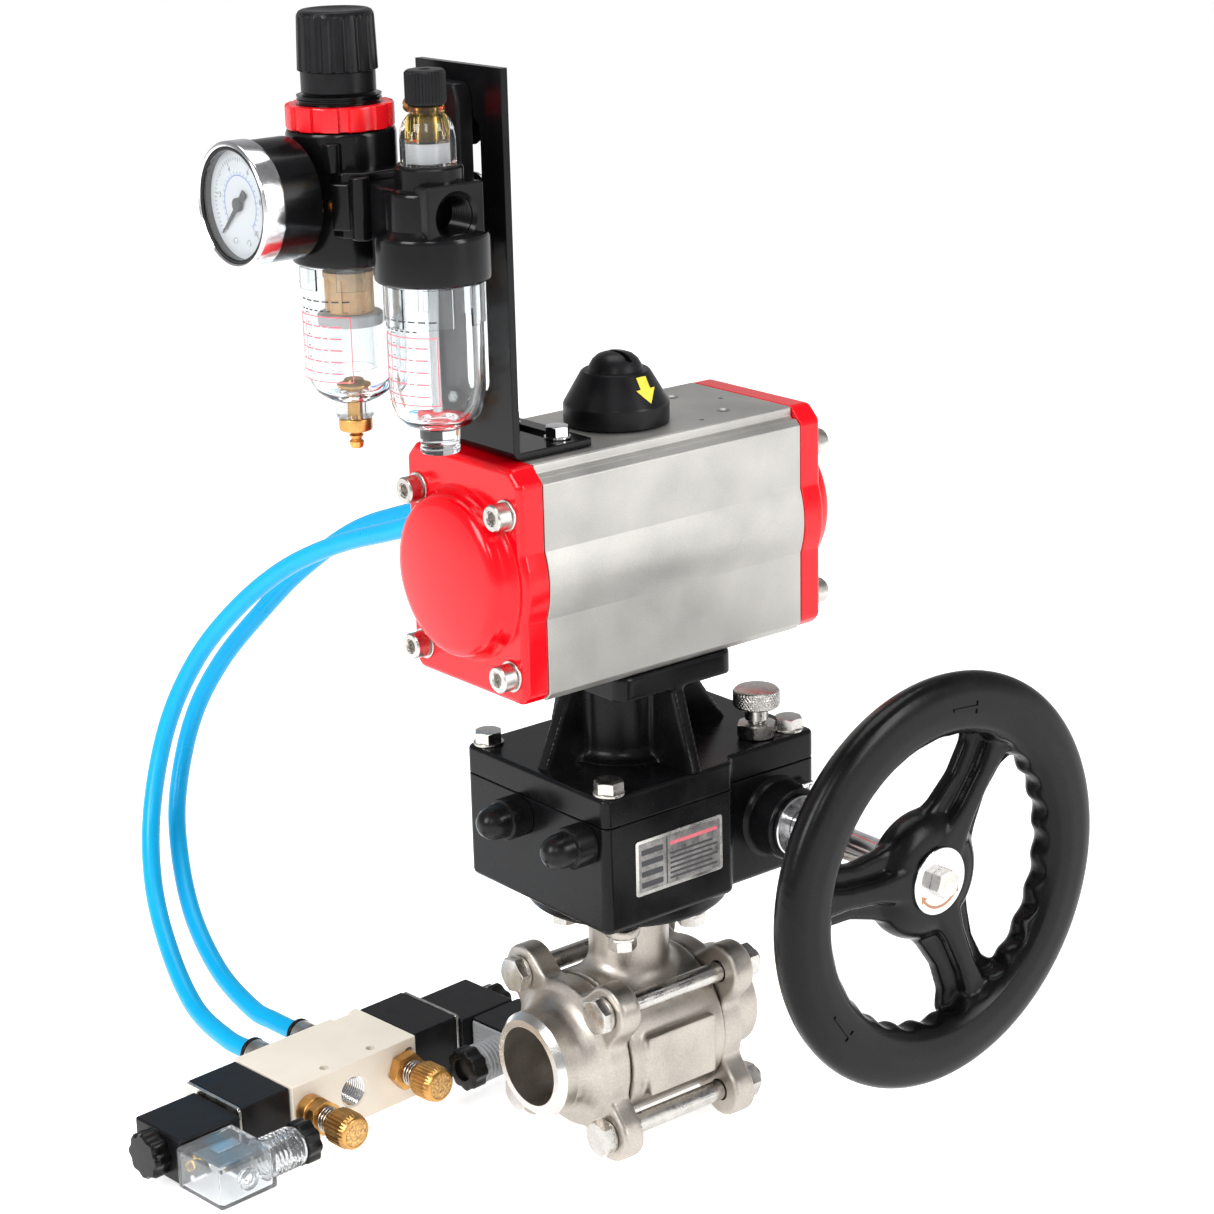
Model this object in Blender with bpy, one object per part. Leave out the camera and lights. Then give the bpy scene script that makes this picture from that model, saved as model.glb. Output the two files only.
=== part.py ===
"""Pneumatic actuated ball valve: a three-piece ball valve, a declutchable worm gearbox with its
handwheel, a double-acting rack-and-pinion actuator, an air preparation unit on a bracket, and a
solenoid valve on two air tubes.

Sizes are in millimetres, measured from the stem axis (X, Y) and from the floor (Z); the helpers
turn them into metres. The pipe and the actuator lie along Y and the handwheel's shaft along X.
"""
import math

import bmesh
import bpy
from mathutils import Matrix, Vector

MM = 0.001                 # metres in a millimetre
GAP = 0.3                  # clearance between two touching pieces
SIDES = 18                 # facets round a turned piece
ROUND = 24                 # and round a large one
STEM = (-5.888, 30.141)  # stem axis in the part's frame, whose origin is the footprint's centre

# Ball valve, DN32 butt weld
PIPE_Z = 37.0              # height of the pipe's centreline
PIPE_R = 21.2
BORE_R = 16.0
PIPE_END = 52.0            # half the length over the weld ends
BODY_R = 31.0
BODY_BORE_R = 26.2
FLANGE_IN, FLANGE_OUT = 24.0, 34.0
TANG_CLEAR_R = 8.2
BALL_R = 25.0
TIE = 26.0                 # tie bolts stand this far from the centreline, both ways
EAR_R = 11.0
TIE_R = 4.0                # M8
STEM_R = 6.0
NECK_R = 16.0
PAD_LOW, PAD_TOP = 88.5, 97.0
PAD_BOLT = 17.7            # 50 mm bolt circle of the mounting pad

# Gearbox
BOX_LOW, BOX_TOP = 103.5, 146.5
BOX_X, BOX_NARROW_X = 43.0, 38.0
BOX_FRONT, BOX_STEP, BOX_BACK = -45.0, 18.0, 66.0
BOX_FLOOR = 111.0
COVER_TOP = 158.0
POCKET_R = 36.0
WORM_Y, WORM_Z = 44.5, 127.5
ECCENTRIC = 0.8            # the sleeve's axis lies this far from the worm shaft's
SLEEVE_R = 11.0
SHAFT_R = 6.5
BOSS_R, BOSS_END = 14.5, 51.0
NECK_FLANGE = (33.5, 28.0)
DRIVE_BORE_R = 10.5
LOCK = (28.0, 44.0)        # pull knob's place on the cover

# Handwheel
WHEEL_R = 80.0
RIM_IN_R = 56.0
HUB_R = 21.0
HUB_BACK, HUB_FRONT = 104.0, 126.0
SPOKE_ANGLES = (36.0, 156.0, 276.0)   # clockwise from the top, seen from the handwheel's side

# Actuator, 63 mm cylinder
ACT_LOW, ACT_TOP = 199.0, 287.0
ACT_Z = (ACT_LOW + ACT_TOP) / 2
ACT_HALF = 62.0            # half the extrusion's length
CYLINDER_R = 31.5
CAP_FLANGE, CAP_END = 73.0, 84.0
PINION_R = 9.0             # pitch radius
PISTON_REST = 48.0         # inner face of a piston, from the stem, with the valve open
PORT_Y = 12.0

# Bracket and air preparation unit
PLATE = (-26.5, 23.5)      # the bracket's edges in X
PLATE_Y, PLATE_T = -63.5, 3.0
PLATE_TOP = 426.0
FOOT_END = -31.0
REG = (-33.0, -95.0)       # regulator's axis
LUB = (19.0, -95.0)        # lubricator's axis
GAUGE_Z, GAUGE_FACE = 382.0, -142.0

# Solenoid valve, in its own frame: origin under the middle of its block, Y along its spool
SOLENOID = (-85.3, -90.7)
SOLENOID_TURN = 5.0        # degrees about Z
BLOCK_X, BLOCK_Y, BLOCK_Z = 19.0, 32.0, 27.0
PILOT_END = 57.0
SILENCER_Y, SILENCER_Z = 24.5, 15.0
FITTING_Y, FITTING_Z = 12.0, 18.0
SPOOL_Z = 13.5

# Air tubes, 8 mm outside. Each route runs from the actuator's fitting to the solenoid valve's.
TUBE_R = 4.0
TUBE_POINTS = 22
FRONT_TUBE = [
    (-52.0, -12.0, 243.5), (-66.0, -12.0, 243.2), (-92.0, -15.0, 235.6), (-117.4, -19.6, 224.6),
    (-156.1, -24.5, 211.0), (-188.4, -31.5, 194.5), (-215.1, -40.4, 172.4), (-234.5, -50.7, 146.7),
    (-242.9, -62.8, 116.5), (-237.5, -76.5, 82.4), (-219.9, -88.5, 56.0), (-193.4, -98.0, 36.0),
    (-162.0, -105.5, 22.5), (-134.2, -107.2, 18.3), (-118.6, -105.7, 18.0)]
REAR_TUBE = [
    (-52.0, 12.0, 243.5), (-66.0, 12.0, 243.3), (-105.0, 8.5, 234.0), (-145.9, 2.5, 220.9),
    (-177.6, -2.4, 207.7), (-205.3, -11.6, 186.7), (-223.7, -19.7, 167.3), (-244.9, -31.3, 139.6),
    (-254.3, -42.8, 112.4), (-250.1, -55.6, 81.7), (-235.5, -65.5, 60.0), (-211.2, -75.0, 39.5),
    (-180.4, -81.5, 25.0), (-150.0, -84.3, 18.8), (-136.4, -83.2, 18.1), (-120.7, -81.8, 18.0)]

# Finishes: colour, roughness, metallic
STEEL = ((0.52, 0.49, 0.45), 0.42, 1.0)
BRIGHT = ((0.72, 0.71, 0.70), 0.22, 1.0)
CAST_STEEL = ((0.45, 0.41, 0.37), 0.5, 1.0)
BLACK_PAINT = ((0.012, 0.012, 0.013), 0.38, 0.0)
BLACK_PLASTIC = ((0.014, 0.014, 0.015), 0.45, 0.0)
RED = ((0.78, 0.015, 0.02), 0.22, 0.0)
ALUMINIUM = ((0.50, 0.49, 0.46), 0.45, 1.0)
CREAM = ((0.78, 0.73, 0.63), 0.4, 0.0)
BRASS = ((0.62, 0.38, 0.14), 0.3, 1.0)
CLEAR = ((0.85, 0.87, 0.88), 0.06, 0.0)
TAN = ((0.62, 0.40, 0.20), 0.7, 0.0)
BLUE = ((0.0, 0.33, 0.75), 0.3, 0.0)
WHITE = ((0.8, 0.8, 0.78), 0.4, 0.0)


# ---------------------------------------------------------------- helpers

def along(axis, a, b, h):
    """A point with height h along the axis and (a, b) across it."""
    if axis == "X":
        return (h, a, b)
    if axis == "Y":
        return (a, h, b)
    return (a, b, h)


def store(name, bm):
    """Keep a bmesh that is in millimetres as an object in metres."""
    bmesh.ops.recalc_face_normals(bm, faces=bm.faces)
    bmesh.ops.scale(bm, vec=(MM, MM, MM), verts=bm.verts)
    mesh = bpy.data.meshes.new(name)
    bm.to_mesh(mesh)
    bm.free()
    obj = bpy.data.objects.new(name, mesh)
    bpy.context.scene.collection.objects.link(obj)
    return obj


def prism(outline, axis, low, high, name="tool"):
    """Extrude a 2D outline along an axis."""
    bm = bmesh.new()
    rings = []
    for height in (low, high):
        rings.append([bm.verts.new(along(axis, a, b, height)) for a, b in outline])
    count = len(outline)
    for i in range(count):
        j = (i + 1) % count
        bm.faces.new((rings[0][i], rings[0][j], rings[1][j], rings[1][i]))
    bm.faces.new(rings[0])
    bm.faces.new(rings[1])
    return store(name, bm)


def box(low, high, name="tool"):
    outline = [(low[0], low[1]), (high[0], low[1]), (high[0], high[1]), (low[0], high[1])]
    return prism(outline, "Z", low[2], high[2], name)


def turned(profile, axis, centre, name="tool", sides=SIDES):
    """Turn (radius, height) points about an axis through centre = (a, b) across it.

    A profile that starts and ends on the axis makes a solid piece; any other is closed into a
    ring with a hole through it.
    """
    bm = bmesh.new()
    solid = profile[0][0] == 0 and profile[-1][0] == 0
    rows = []
    for radius, height in profile:
        if radius == 0:
            rows.append([bm.verts.new(along(axis, centre[0], centre[1], height))] * sides)
            continue
        row = []
        for k in range(sides):
            angle = 2 * math.pi * (k + 0.5) / sides
            a = centre[0] + radius * math.cos(angle)
            b = centre[1] + radius * math.sin(angle)
            row.append(bm.verts.new(along(axis, a, b, height)))
        rows.append(row)
    pairs = list(zip(rows, rows[1:]))
    if not solid:
        pairs.append((rows[-1], rows[0]))
    for low, high in pairs:
        for k in range(sides):
            n = (k + 1) % sides
            corners = []
            for vert in (low[k], low[n], high[n], high[k]):
                if vert not in corners:
                    corners.append(vert)
            bm.faces.new(corners)
    return store(name, bm)


def rod(radius, low, high, axis, centre, name="tool", sides=SIDES):
    return turned([(0, low), (radius, low), (radius, high), (0, high)], axis, centre, name, sides)


def ring(inner, outer, low, high, axis, centre, name="tool", sides=SIDES):
    profile = [(inner, low), (outer, low), (outer, high), (inner, high)]
    return turned(profile, axis, centre, name, sides)


def polygon(across_flats, centre=(0, 0), sides=6):
    """A regular polygon given by the distance between its opposite flats."""
    radius = across_flats / 2 / math.cos(math.pi / sides)
    angles = [2 * math.pi * k / sides for k in range(sides)]
    return [(centre[0] + radius * math.cos(t), centre[1] + radius * math.sin(t)) for t in angles]


def stadium(half_length, radius, turn, steps=5):
    """A straight slot shape about the origin, turned by an angle in degrees."""
    points = []
    for side in (0, 1):
        for k in range(steps + 1):
            angle = math.pi * (side + k / steps) - math.pi / 2
            x = radius * math.cos(angle) + (half_length if side == 0 else -half_length)
            points.append((x, radius * math.sin(angle)))
    c, s = math.cos(math.radians(turn)), math.sin(math.radians(turn))
    return [(x * c - y * s, x * s + y * c) for x, y in points]


def rounded(outline, radius, steps=3):
    """Replace each corner of an outline by an arc-like curve."""
    points = []
    count = len(outline)
    for i in range(count):
        corner = Vector(outline[i])
        before = (Vector(outline[i - 1]) - corner).normalized() * radius
        after = (Vector(outline[(i + 1) % count]) - corner).normalized() * radius
        for k in range(steps + 1):
            t = k / steps
            point = corner + before * (1 - t) ** 2 + after * t ** 2
            points.append((point.x, point.y))
    return points


def shifted(outline, a, b):
    return [(x + a, y + b) for x, y in outline]


def combine(base, tools, operation):
    """Join or cut with Booleans, and keep the result as the base's own mesh."""
    for tool in tools:
        modifier = base.modifiers.new("combine", "BOOLEAN")
        modifier.operation = operation
        modifier.object = tool
        bpy.context.view_layer.update()
        evaluated = base.evaluated_get(bpy.context.evaluated_depsgraph_get())
        mesh = bpy.data.meshes.new_from_object(evaluated)
        base.modifiers.clear()
        base.data = mesh
        bpy.data.objects.remove(tool)
    return base


def join(base, *tools):
    return combine(base, tools, "UNION")


def cut(base, *tools):
    return combine(base, tools, "DIFFERENCE")


def finish(obj, name, look, parent, origin=(0, 0, 0)):
    """Name a piece, give it its material, and put its origin where it turns or slides."""
    obj.name = name
    offset = Vector(origin) * MM
    obj.data.transform(Matrix.Translation(-offset))
    obj.location = offset
    obj.parent = parent
    obj.data.shade_smooth()
    obj.data.set_sharp_from_angle(angle=math.radians(35))
    colour, roughness, metallic = look
    material = bpy.data.materials.new(name)
    material.use_nodes = True
    shader = material.node_tree.nodes["Principled BSDF"]
    shader.inputs["Base Color"].default_value = (*colour, 1.0)
    shader.inputs["Roughness"].default_value = roughness
    shader.inputs["Metallic"].default_value = metallic
    obj.data.materials.clear()
    obj.data.materials.append(material)
    return obj


def empty(name, location, turn, parent=None):
    obj = bpy.data.objects.new(name, None)
    obj.location = Vector(location) * MM
    obj.rotation_euler = (0, 0, math.radians(turn))
    obj.parent = parent
    bpy.context.scene.collection.objects.link(obj)
    return obj


# ---------------------------------------------------------------- ball valve

def end_cap(side, name, parent):
    """Weld end and eared flange on one side of the body; side is -1 in front, 1 behind."""
    profile = [(BORE_R, FLANGE_IN), (30.0, FLANGE_IN), (30.0, FLANGE_OUT), (25.0, 35.0),
               (PIPE_R, 40.0), (PIPE_R, 49.6), (18.6, PIPE_END), (BORE_R, PIPE_END)]
    cap = turned([(r, side * h) for r, h in profile], "Y", (0, PIPE_Z), sides=ROUND)
    low, high = sorted((side * FLANGE_IN, side * FLANGE_OUT))
    reach = TIE * math.sqrt(2)
    for turn in (45, -45):
        ears = prism(shifted(stadium(reach, EAR_R, turn), 0, PIPE_Z), "Y", low, high)
        core = rod(BORE_R + 3.0, low - 1, high + 1, "Y", (0, PIPE_Z), sides=12)
        join(cap, cut(ears, core))
    for x in (-TIE, TIE):
        for z in (-TIE, TIE):
            cut(cap, rod(TIE_R + 0.5, low - 1, high + 1, "Y", (x, PIPE_Z + z), sides=8))
    return finish(cap, name, CAST_STEEL, parent, (0, side * FLANGE_IN, PIPE_Z))


def tie_bolt(x, z, name, parent):
    """M8 bolt through both flanges, with its nut at the rear."""
    centre = (x, PIPE_Z + z)
    face = FLANGE_OUT + GAP
    bolt = rod(TIE_R, -face - 1, face + 9.5, "Y", centre, sides=10)
    join(bolt, prism(polygon(13, centre), "Y", -face - 5.3, -face))
    join(bolt, prism(polygon(13, centre), "Y", face, face + 6.5))
    return finish(bolt, name, STEEL, parent, (x, 0, PIPE_Z + z))


def valve_body(parent):
    half = FLANGE_IN - GAP
    body = ring(BODY_BORE_R, BODY_R, -half, half, "Y", (0, PIPE_Z), sides=ROUND)
    neck = rod(NECK_R, PIPE_Z + 18, PAD_LOW + 1, "Z", (0, 0), sides=20)
    cut(neck, rod(BODY_BORE_R + 1.5, -half - 1, half + 1, "Y", (0, PIPE_Z), sides=16))
    join(body, neck)
    for turn in (45, -45):
        join(body, prism(stadium(PAD_BOLT * math.sqrt(2), 7.0, turn), "Z", PAD_LOW, PAD_TOP))
    join(body, box((27.4, -17, PIPE_Z - 13), (32.5, 17, PIPE_Z + 12)))
    cut(body, rod(STEM_R + 0.5, PIPE_Z + 15, PAD_TOP + 1, "Z", (0, 0), sides=12))
    cut(body, rod(TANG_CLEAR_R, PIPE_Z + 15, PIPE_Z + BALL_R + 1.8, "Z", (0, 0), sides=12))
    for x in (-PAD_BOLT, PAD_BOLT):
        for y in (-PAD_BOLT, PAD_BOLT):
            cut(body, rod(3.3, PAD_LOW - 1, PAD_TOP + 1, "Z", (x, y), sides=8))
    return finish(body, "valve_body", CAST_STEEL, parent, (0, 0, PIPE_Z))


def seat(side, name, parent):
    """Seat ring whose inner face follows the ball."""
    clear_r = BALL_R + 0.5
    radii = (17.0, 20.0, 22.5)
    profile = [(r, side * math.sqrt(clear_r ** 2 - r ** 2)) for r in radii]
    shoulder = side * math.sqrt(clear_r ** 2 - radii[-1] ** 2)
    profile += [(25.7, shoulder), (25.7, side * (FLANGE_IN - GAP)), (17.0, side * (FLANGE_IN - GAP))]
    piece = turned(profile, "Y", (0, PIPE_Z), sides=16)
    return finish(piece, name, WHITE, parent, (0, side * FLANGE_IN, PIPE_Z))


def valve_ball(parent):
    """Full-bore ball: a sphere's zone turned about the bore, slotted for the stem's tang."""
    edge = math.asin(BORE_R / BALL_R)
    steps = 6
    angles = [edge + (math.pi - 2 * edge) * k / steps for k in range(steps + 1)]
    profile = [(BALL_R * math.sin(t), -BALL_R * math.cos(t)) for t in angles]
    ball = turned(profile, "Y", (0, PIPE_Z), sides=20)
    cut(ball, box((-3.2, -8.0, PIPE_Z + 20.4), (3.2, 8.0, PIPE_Z + 30)))
    return finish(ball, "valve_ball", BRIGHT, parent, (0, 0, PIPE_Z))


def valve_stem(parent):
    stem = rod(STEM_R, PIPE_Z + BALL_R + 0.5, 138.0, "Z", (0, 0), sides=12)
    join(stem, box((-2.8, -7.0, PIPE_Z + 20.8), (2.8, 7.0, PIPE_Z + BALL_R + 0.9)))
    return finish(stem, "valve_stem", STEEL, parent)


# ---------------------------------------------------------------- gearbox

def box_outline():
    """The housing seen from above, narrower behind the step."""
    outline = [(-BOX_X, BOX_FRONT), (BOX_X, BOX_FRONT), (BOX_X, BOX_STEP),
               (BOX_NARROW_X, BOX_STEP + 3), (BOX_NARROW_X, BOX_BACK), (-BOX_NARROW_X, BOX_BACK),
               (-BOX_NARROW_X, BOX_STEP + 3), (-BOX_X, BOX_STEP)]
    return rounded(outline, 2.5, 2)


def gearbox_housing(parent):
    sleeve_centre = (WORM_Y - ECCENTRIC, WORM_Z)
    housing = prism(box_outline(), "Z", BOX_LOW, BOX_TOP)
    join(housing, rod(40.0, PAD_TOP + GAP, BOX_LOW + 1, "Z", (0, 0), sides=ROUND))
    join(housing, rod(BOSS_R, 30.0, BOSS_END, "X", sleeve_centre))
    cut(housing, rod(POCKET_R, BOX_FLOOR, BOX_TOP + 1, "Z", (0, 0), sides=20))
    cut(housing, box((-34, 30, 114), (24, 56.5, BOX_TOP + 1)))
    cut(housing, rod(SLEEVE_R + 0.5, 20.0, BOSS_END + 1, "X", sleeve_centre, sides=16))
    cut(housing, rod(STEM_R + 1.0, PAD_TOP - 1, BOX_FLOOR + 1, "Z", (0, 0), sides=12))
    return finish(housing, "gearbox_housing", BLACK_PAINT, parent)


def gearbox_cover(parent):
    """Cover with the ribbed neck that carries the actuator."""
    cover = prism(box_outline(), "Z", BOX_TOP + GAP, COVER_TOP)
    join(cover, rod(20.0, COVER_TOP - 2, ACT_LOW - 5, "Z", (0, 0)))
    half_x, half_y = NECK_FLANGE
    flange = [(-half_x, -half_y), (half_x, -half_y), (half_x, half_y), (-half_x, half_y)]
    rib_feet = ((43.0, half_x), (50.0, half_y), (43.0, half_x), (41.0, half_y))
    for k, (foot, top) in enumerate(rib_feet):
        outline = [(15, COVER_TOP - 1), (foot, COVER_TOP - 1), (foot, COVER_TOP), (top - 1, 190.5),
                   (15, 190.5)]
        rib = prism(outline, "Y", -2.5, 2.5)
        rib.data.transform(Matrix.Rotation(math.radians(90 * k), 4, "Z"))
        join(cover, rib)
    join(cover, prism(rounded(flange, 4, 3), "Z", 189.5, ACT_LOW - GAP))
    cut(cover, rod(DRIVE_BORE_R, BOX_TOP - 1, ACT_LOW + 1, "Z", (0, 0)))
    cut(cover, rod(3.4, BOX_TOP - 1, COVER_TOP + 1, "Z", LOCK, sides=8))
    return finish(cover, "gearbox_cover", BLACK_PAINT, parent)


def stop_cap(x, name, parent):
    """Domed rubber cap over a travel stop screw."""
    front = BOX_FRONT - GAP
    profile = [(0, front), (7.6, front), (7.6, front - 9), (6.8, front - 9.6), (6.6, front - 13),
               (5.6, front - 16.5), (3.2, front - 18.7), (0, front - 19.3)]
    piece = turned(profile, "Y", (x, 138.5), sides=14)
    return finish(piece, name, BLACK_PLASTIC, parent, (x, front, 138.5))


def gear_outline(teeth, tip_r, root_r):
    points = []
    for k in range(teeth):
        for share, radius in ((0.0, root_r), (0.42, root_r), (0.56, tip_r), (0.86, tip_r)):
            angle = 2 * math.pi * (k + share) / teeth
            points.append((radius * math.cos(angle), radius * math.sin(angle)))
    return points


def worm_wheel(parent):
    """Worm wheel and, in one piece with it, the shaft that the actuator drives."""
    wheel = prism(gear_outline(22, 33.0, 29.0), "Z", 121.0, 134.0)
    join(wheel, rod(9.8, 113.0, ACT_LOW - 0.6, "Z", (0, 0), sides=14))
    cut(wheel, rod(STEM_R + GAP, 112.0, 139.0, "Z", (0, 0), sides=12))
    return finish(wheel, "worm_wheel", STEEL, parent)


def worm_shaft(parent):
    """Shaft with a single-start worm: a skin over rounds that are off centre along the worm."""
    corners = 12
    end = HUB_FRONT - 2
    stations = [(-30.0, SHAFT_R, 0.0, 0.0), (-20.0, SHAFT_R, 0.0, 0.0)]
    steps, turns = 15, 2.5
    for i in range(steps + 1):
        stations.append((-19.0 + 38.0 * i / steps, 8.0, 1.3, 2 * math.pi * turns * i / steps))
    stations += [(20.0, SHAFT_R, 0.0, 0.0), (HUB_BACK + 8.0, SHAFT_R, 0.0, 0.0),
                 (HUB_BACK + 8.0, 5.0, 0.0, 0.0), (end, 5.0, 0.0, 0.0)]
    bm = bmesh.new()
    rows = []
    for x, radius, offset, turn in stations:
        row = []
        for k in range(corners):
            angle = 2 * math.pi * k / corners
            a = WORM_Y + offset * math.cos(turn) + radius * math.cos(angle)
            b = WORM_Z + offset * math.sin(turn) + radius * math.sin(angle)
            row.append(bm.verts.new((x, a, b)))
        rows.append(row)
    for low, high in zip(rows, rows[1:]):
        for k in range(corners):
            n = (k + 1) % corners
            bm.faces.new((low[k], low[n], high[n], high[k]))
    bm.faces.new(rows[0])
    bm.faces.new(rows[-1])
    return finish(store("tool", bm), "worm_shaft", BRIGHT, parent, (0, WORM_Y, WORM_Z))


def eccentric_sleeve(parent):
    """Sleeve whose bore is off its own axis: turning it moves the worm to or from the wheel."""
    centre = (WORM_Y - ECCENTRIC, WORM_Z)
    collar, end = BOSS_END + GAP, BOSS_END + 2.3
    profile = [(0, 25.0), (SLEEVE_R, 25.0), (SLEEVE_R, collar), (12.2, collar), (12.2, end), (0, end)]
    sleeve = turned(profile, "X", centre)
    cut(sleeve, rod(SHAFT_R + GAP, 24.0, BOSS_END + 4, "X", (WORM_Y, WORM_Z), sides=14))
    return finish(sleeve, "eccentric_sleeve", BRIGHT, parent, (BOSS_END, WORM_Y - ECCENTRIC, WORM_Z))


def knob_nut(parent):
    nut = prism(polygon(14, LOCK), "Z", COVER_TOP + GAP, COVER_TOP + 5.8)
    cut(nut, rod(3.4, COVER_TOP - 1, COVER_TOP + 8, "Z", LOCK, sides=12))
    return finish(nut, "knob_nut", STEEL, parent, (*LOCK, COVER_TOP))


def lock_knob(parent):
    """Spring-loaded pull knob that locks the eccentric sleeve."""
    profile = [(0, 148.0), (3.0, 148.0), (3.0, 165.0), (4.6, 165.0), (4.6, 170.0), (9.0, 170.5),
               (9.0, 177.0), (8.2, 177.8), (0, 177.8)]
    return finish(turned(profile, "Z", LOCK), "lock_knob", STEEL, parent, (*LOCK, 148.0))


# ---------------------------------------------------------------- handwheel

def handwheel(parent):
    centre = (WORM_Y, WORM_Z)
    rim = [(RIM_IN_R, 121.5), (RIM_IN_R, 129.0), (59.5, 131.8), (74.5, 131.8), (78.8, 129.8),
           (WHEEL_R, 126.0), (77.5, 121.0), (73.0, 118.0), (66.0, 117.0), (59.0, 118.5)]
    wheel = turned(rim, "X", centre, sides=32)
    for degrees in SPOKE_ANGLES:
        outline = [(-13, 12), (13, 12), (9.5, 34), (9.5, 48), (14, 60), (-14, 60), (-9.5, 48),
                   (-9.5, 34)]
        spoke = prism(outline, "X", 115.0, 123.5)
        spoke.data.transform(Matrix.Rotation(math.radians(-degrees), 4, "X"))
        spoke.data.transform(Matrix.Translation(Vector((0, WORM_Y, WORM_Z)) * MM))
        join(wheel, spoke)
    hub = [(0, HUB_BACK), (12.0, HUB_BACK), (12.0, 108.0), (HUB_R, 110.0), (HUB_R, 120.0),
           (18.0, HUB_FRONT), (0, HUB_FRONT)]
    join(wheel, turned(hub, "X", centre))
    cut(wheel, rod(SHAFT_R + GAP, HUB_BACK - 1, HUB_BACK + 8.5, "X", centre, sides=16))
    cut(wheel, rod(5.0 + GAP, HUB_BACK, HUB_FRONT + 1, "X", centre, sides=16))
    return finish(wheel, "handwheel", BLACK_PAINT, parent, (0, WORM_Y, WORM_Z))


def hub_bolt(parent):
    """Hub bolt with its washer."""
    centre = (WORM_Y, WORM_Z)
    profile = [(0, HUB_FRONT - 1.7), (4.5, HUB_FRONT - 1.7), (4.5, HUB_FRONT + GAP),
               (13.0, HUB_FRONT + GAP), (13.0, HUB_FRONT + 1.6), (0, HUB_FRONT + 1.6)]
    bolt = turned(profile, "X", centre)
    join(bolt, prism(polygon(10, centre), "X", HUB_FRONT + 1.0, HUB_FRONT + 6.0))
    return finish(bolt, "hub_bolt", STEEL, parent, (0, WORM_Y, WORM_Z))


# ---------------------------------------------------------------- actuator

def actuator_outline():
    """Extrusion's section: flat top with a groove each side, and the cylinder's bulge."""
    half = (ACT_TOP - ACT_LOW) / 2
    flat_x, bulge_r = 34.2, 36.5
    rise = math.sqrt(bulge_r ** 2 - flat_x ** 2)
    side = [(29.0, half), (29.0, half - 3.4), (29.8, half - 4.4), (32.2, half - 4.4),
            (flat_x, half - 6.6)]
    steps = 4
    for k in range(steps + 1):
        z = rise * (1 - 2 * k / steps)
        side.append((math.sqrt(bulge_r ** 2 - z ** 2), z))
    side += [(flat_x, -half + 3.0), (flat_x - 2.5, -half)]
    left = [(-x, z) for x, z in reversed(side)]
    return [(x, z + ACT_Z) for x, z in side + left]


def actuator_body(parent):
    body = prism(actuator_outline(), "Y", -ACT_HALF, ACT_HALF)
    cut(body, rod(CYLINDER_R, -ACT_HALF - 1, ACT_HALF + 1, "Y", (0, ACT_Z), sides=ROUND))
    cut(body, rod(11.0, ACT_LOW - 1, ACT_TOP + 1, "Z", (0, 0), sides=16))
    for x in (-15.0, 15.0):
        for y in (-40.0, 40.0):
            cut(body, rod(2.3, ACT_TOP - 9, ACT_TOP + 1, "Z", (x, y), sides=8))
    for y in (-PORT_Y, PORT_Y):
        cut(body, rod(6.3, -40.0, -25.0, "X", (y, ACT_Z), sides=12))
    return finish(body, "actuator_body", ALUMINIUM, parent, (0, 0, ACT_Z))


def actuator_cap(side, name, parent):
    """Cast end cap: the extrusion's outline with a round domed boss."""
    inner = side * (ACT_HALF + GAP)
    cap = prism(actuator_outline(), "Y", *sorted((inner, side * CAP_FLANGE)))
    profile = [(0, CAP_FLANGE - 2), (30.5, CAP_FLANGE - 2), (29.6, 80.0), (26.5, 82.4),
               (16.0, 83.5), (0, CAP_END)]
    join(cap, turned([(r, side * h) for r, h in profile], "Y", (0, ACT_Z), sides=ROUND))
    return finish(cap, name, RED, parent, (0, inner, ACT_Z))


def pinion_shaft(parent):
    profile = [(0, ACT_LOW), (10.7, ACT_LOW), (10.7, ACT_LOW + 13), (7.2, ACT_LOW + 13),
               (7.2, ACT_TOP - 13), (10.7, ACT_TOP - 13), (10.7, ACT_TOP), (0, ACT_TOP)]
    shaft = turned(profile, "Z", (0, 0), sides=14)
    join(shaft, prism(gear_outline(18, PINION_R + 0.4, 7.9), "Z", ACT_Z - 12, ACT_Z + 12))
    return finish(shaft, "pinion_shaft", STEEL, parent)


def piston(side, name, parent):
    """Piston with its rack, which runs along the pinion; side is -1 in front, 1 behind."""
    piece = rod(CYLINDER_R - 0.5, *sorted((side * PISTON_REST, side * (PISTON_REST + 12))), "Y",
                (0, ACT_Z), sides=ROUND)
    pitch = 2 * math.pi * PINION_R / 18
    tip, root, back = PINION_R + 0.8, PINION_R + 2.0, PINION_R + 8.0
    start, count = -12.0, 19
    teeth = []
    for k in range(count):
        y = start + pitch * k
        teeth += [(root, y), (root, y + 0.42 * pitch), (tip, y + 0.56 * pitch),
                  (tip, y + 0.86 * pitch)]
    end = start + pitch * count
    outline = teeth + [(root, end), (root, PISTON_REST + 1), (back, PISTON_REST + 1), (back, start)]
    rack = prism([(side * x, side * y) for x, y in outline], "Z", ACT_Z - 7, ACT_Z + 7)
    join(piece, rack)
    return finish(piece, name, ALUMINIUM, parent, (0, side * PISTON_REST, ACT_Z))


def position_indicator(parent):
    profile = [(0, 287.4), (20.0, 287.4), (20.0, 294.8), (12.6, 307.0), (10.2, 307.0),
               (8.6, 310.3), (5.2, 312.9), (0, 314.0)]
    piece = turned(profile, "Z", (0, 0), sides=20)
    cut(piece, box((-12, -1.2, 310.8), (12, 1.2, 320)))
    return finish(piece, "position_indicator", BLACK_PLASTIC, parent, (0, 0, 287.4))


# ---------------------------------------------------------------- bracket and air preparation

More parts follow.
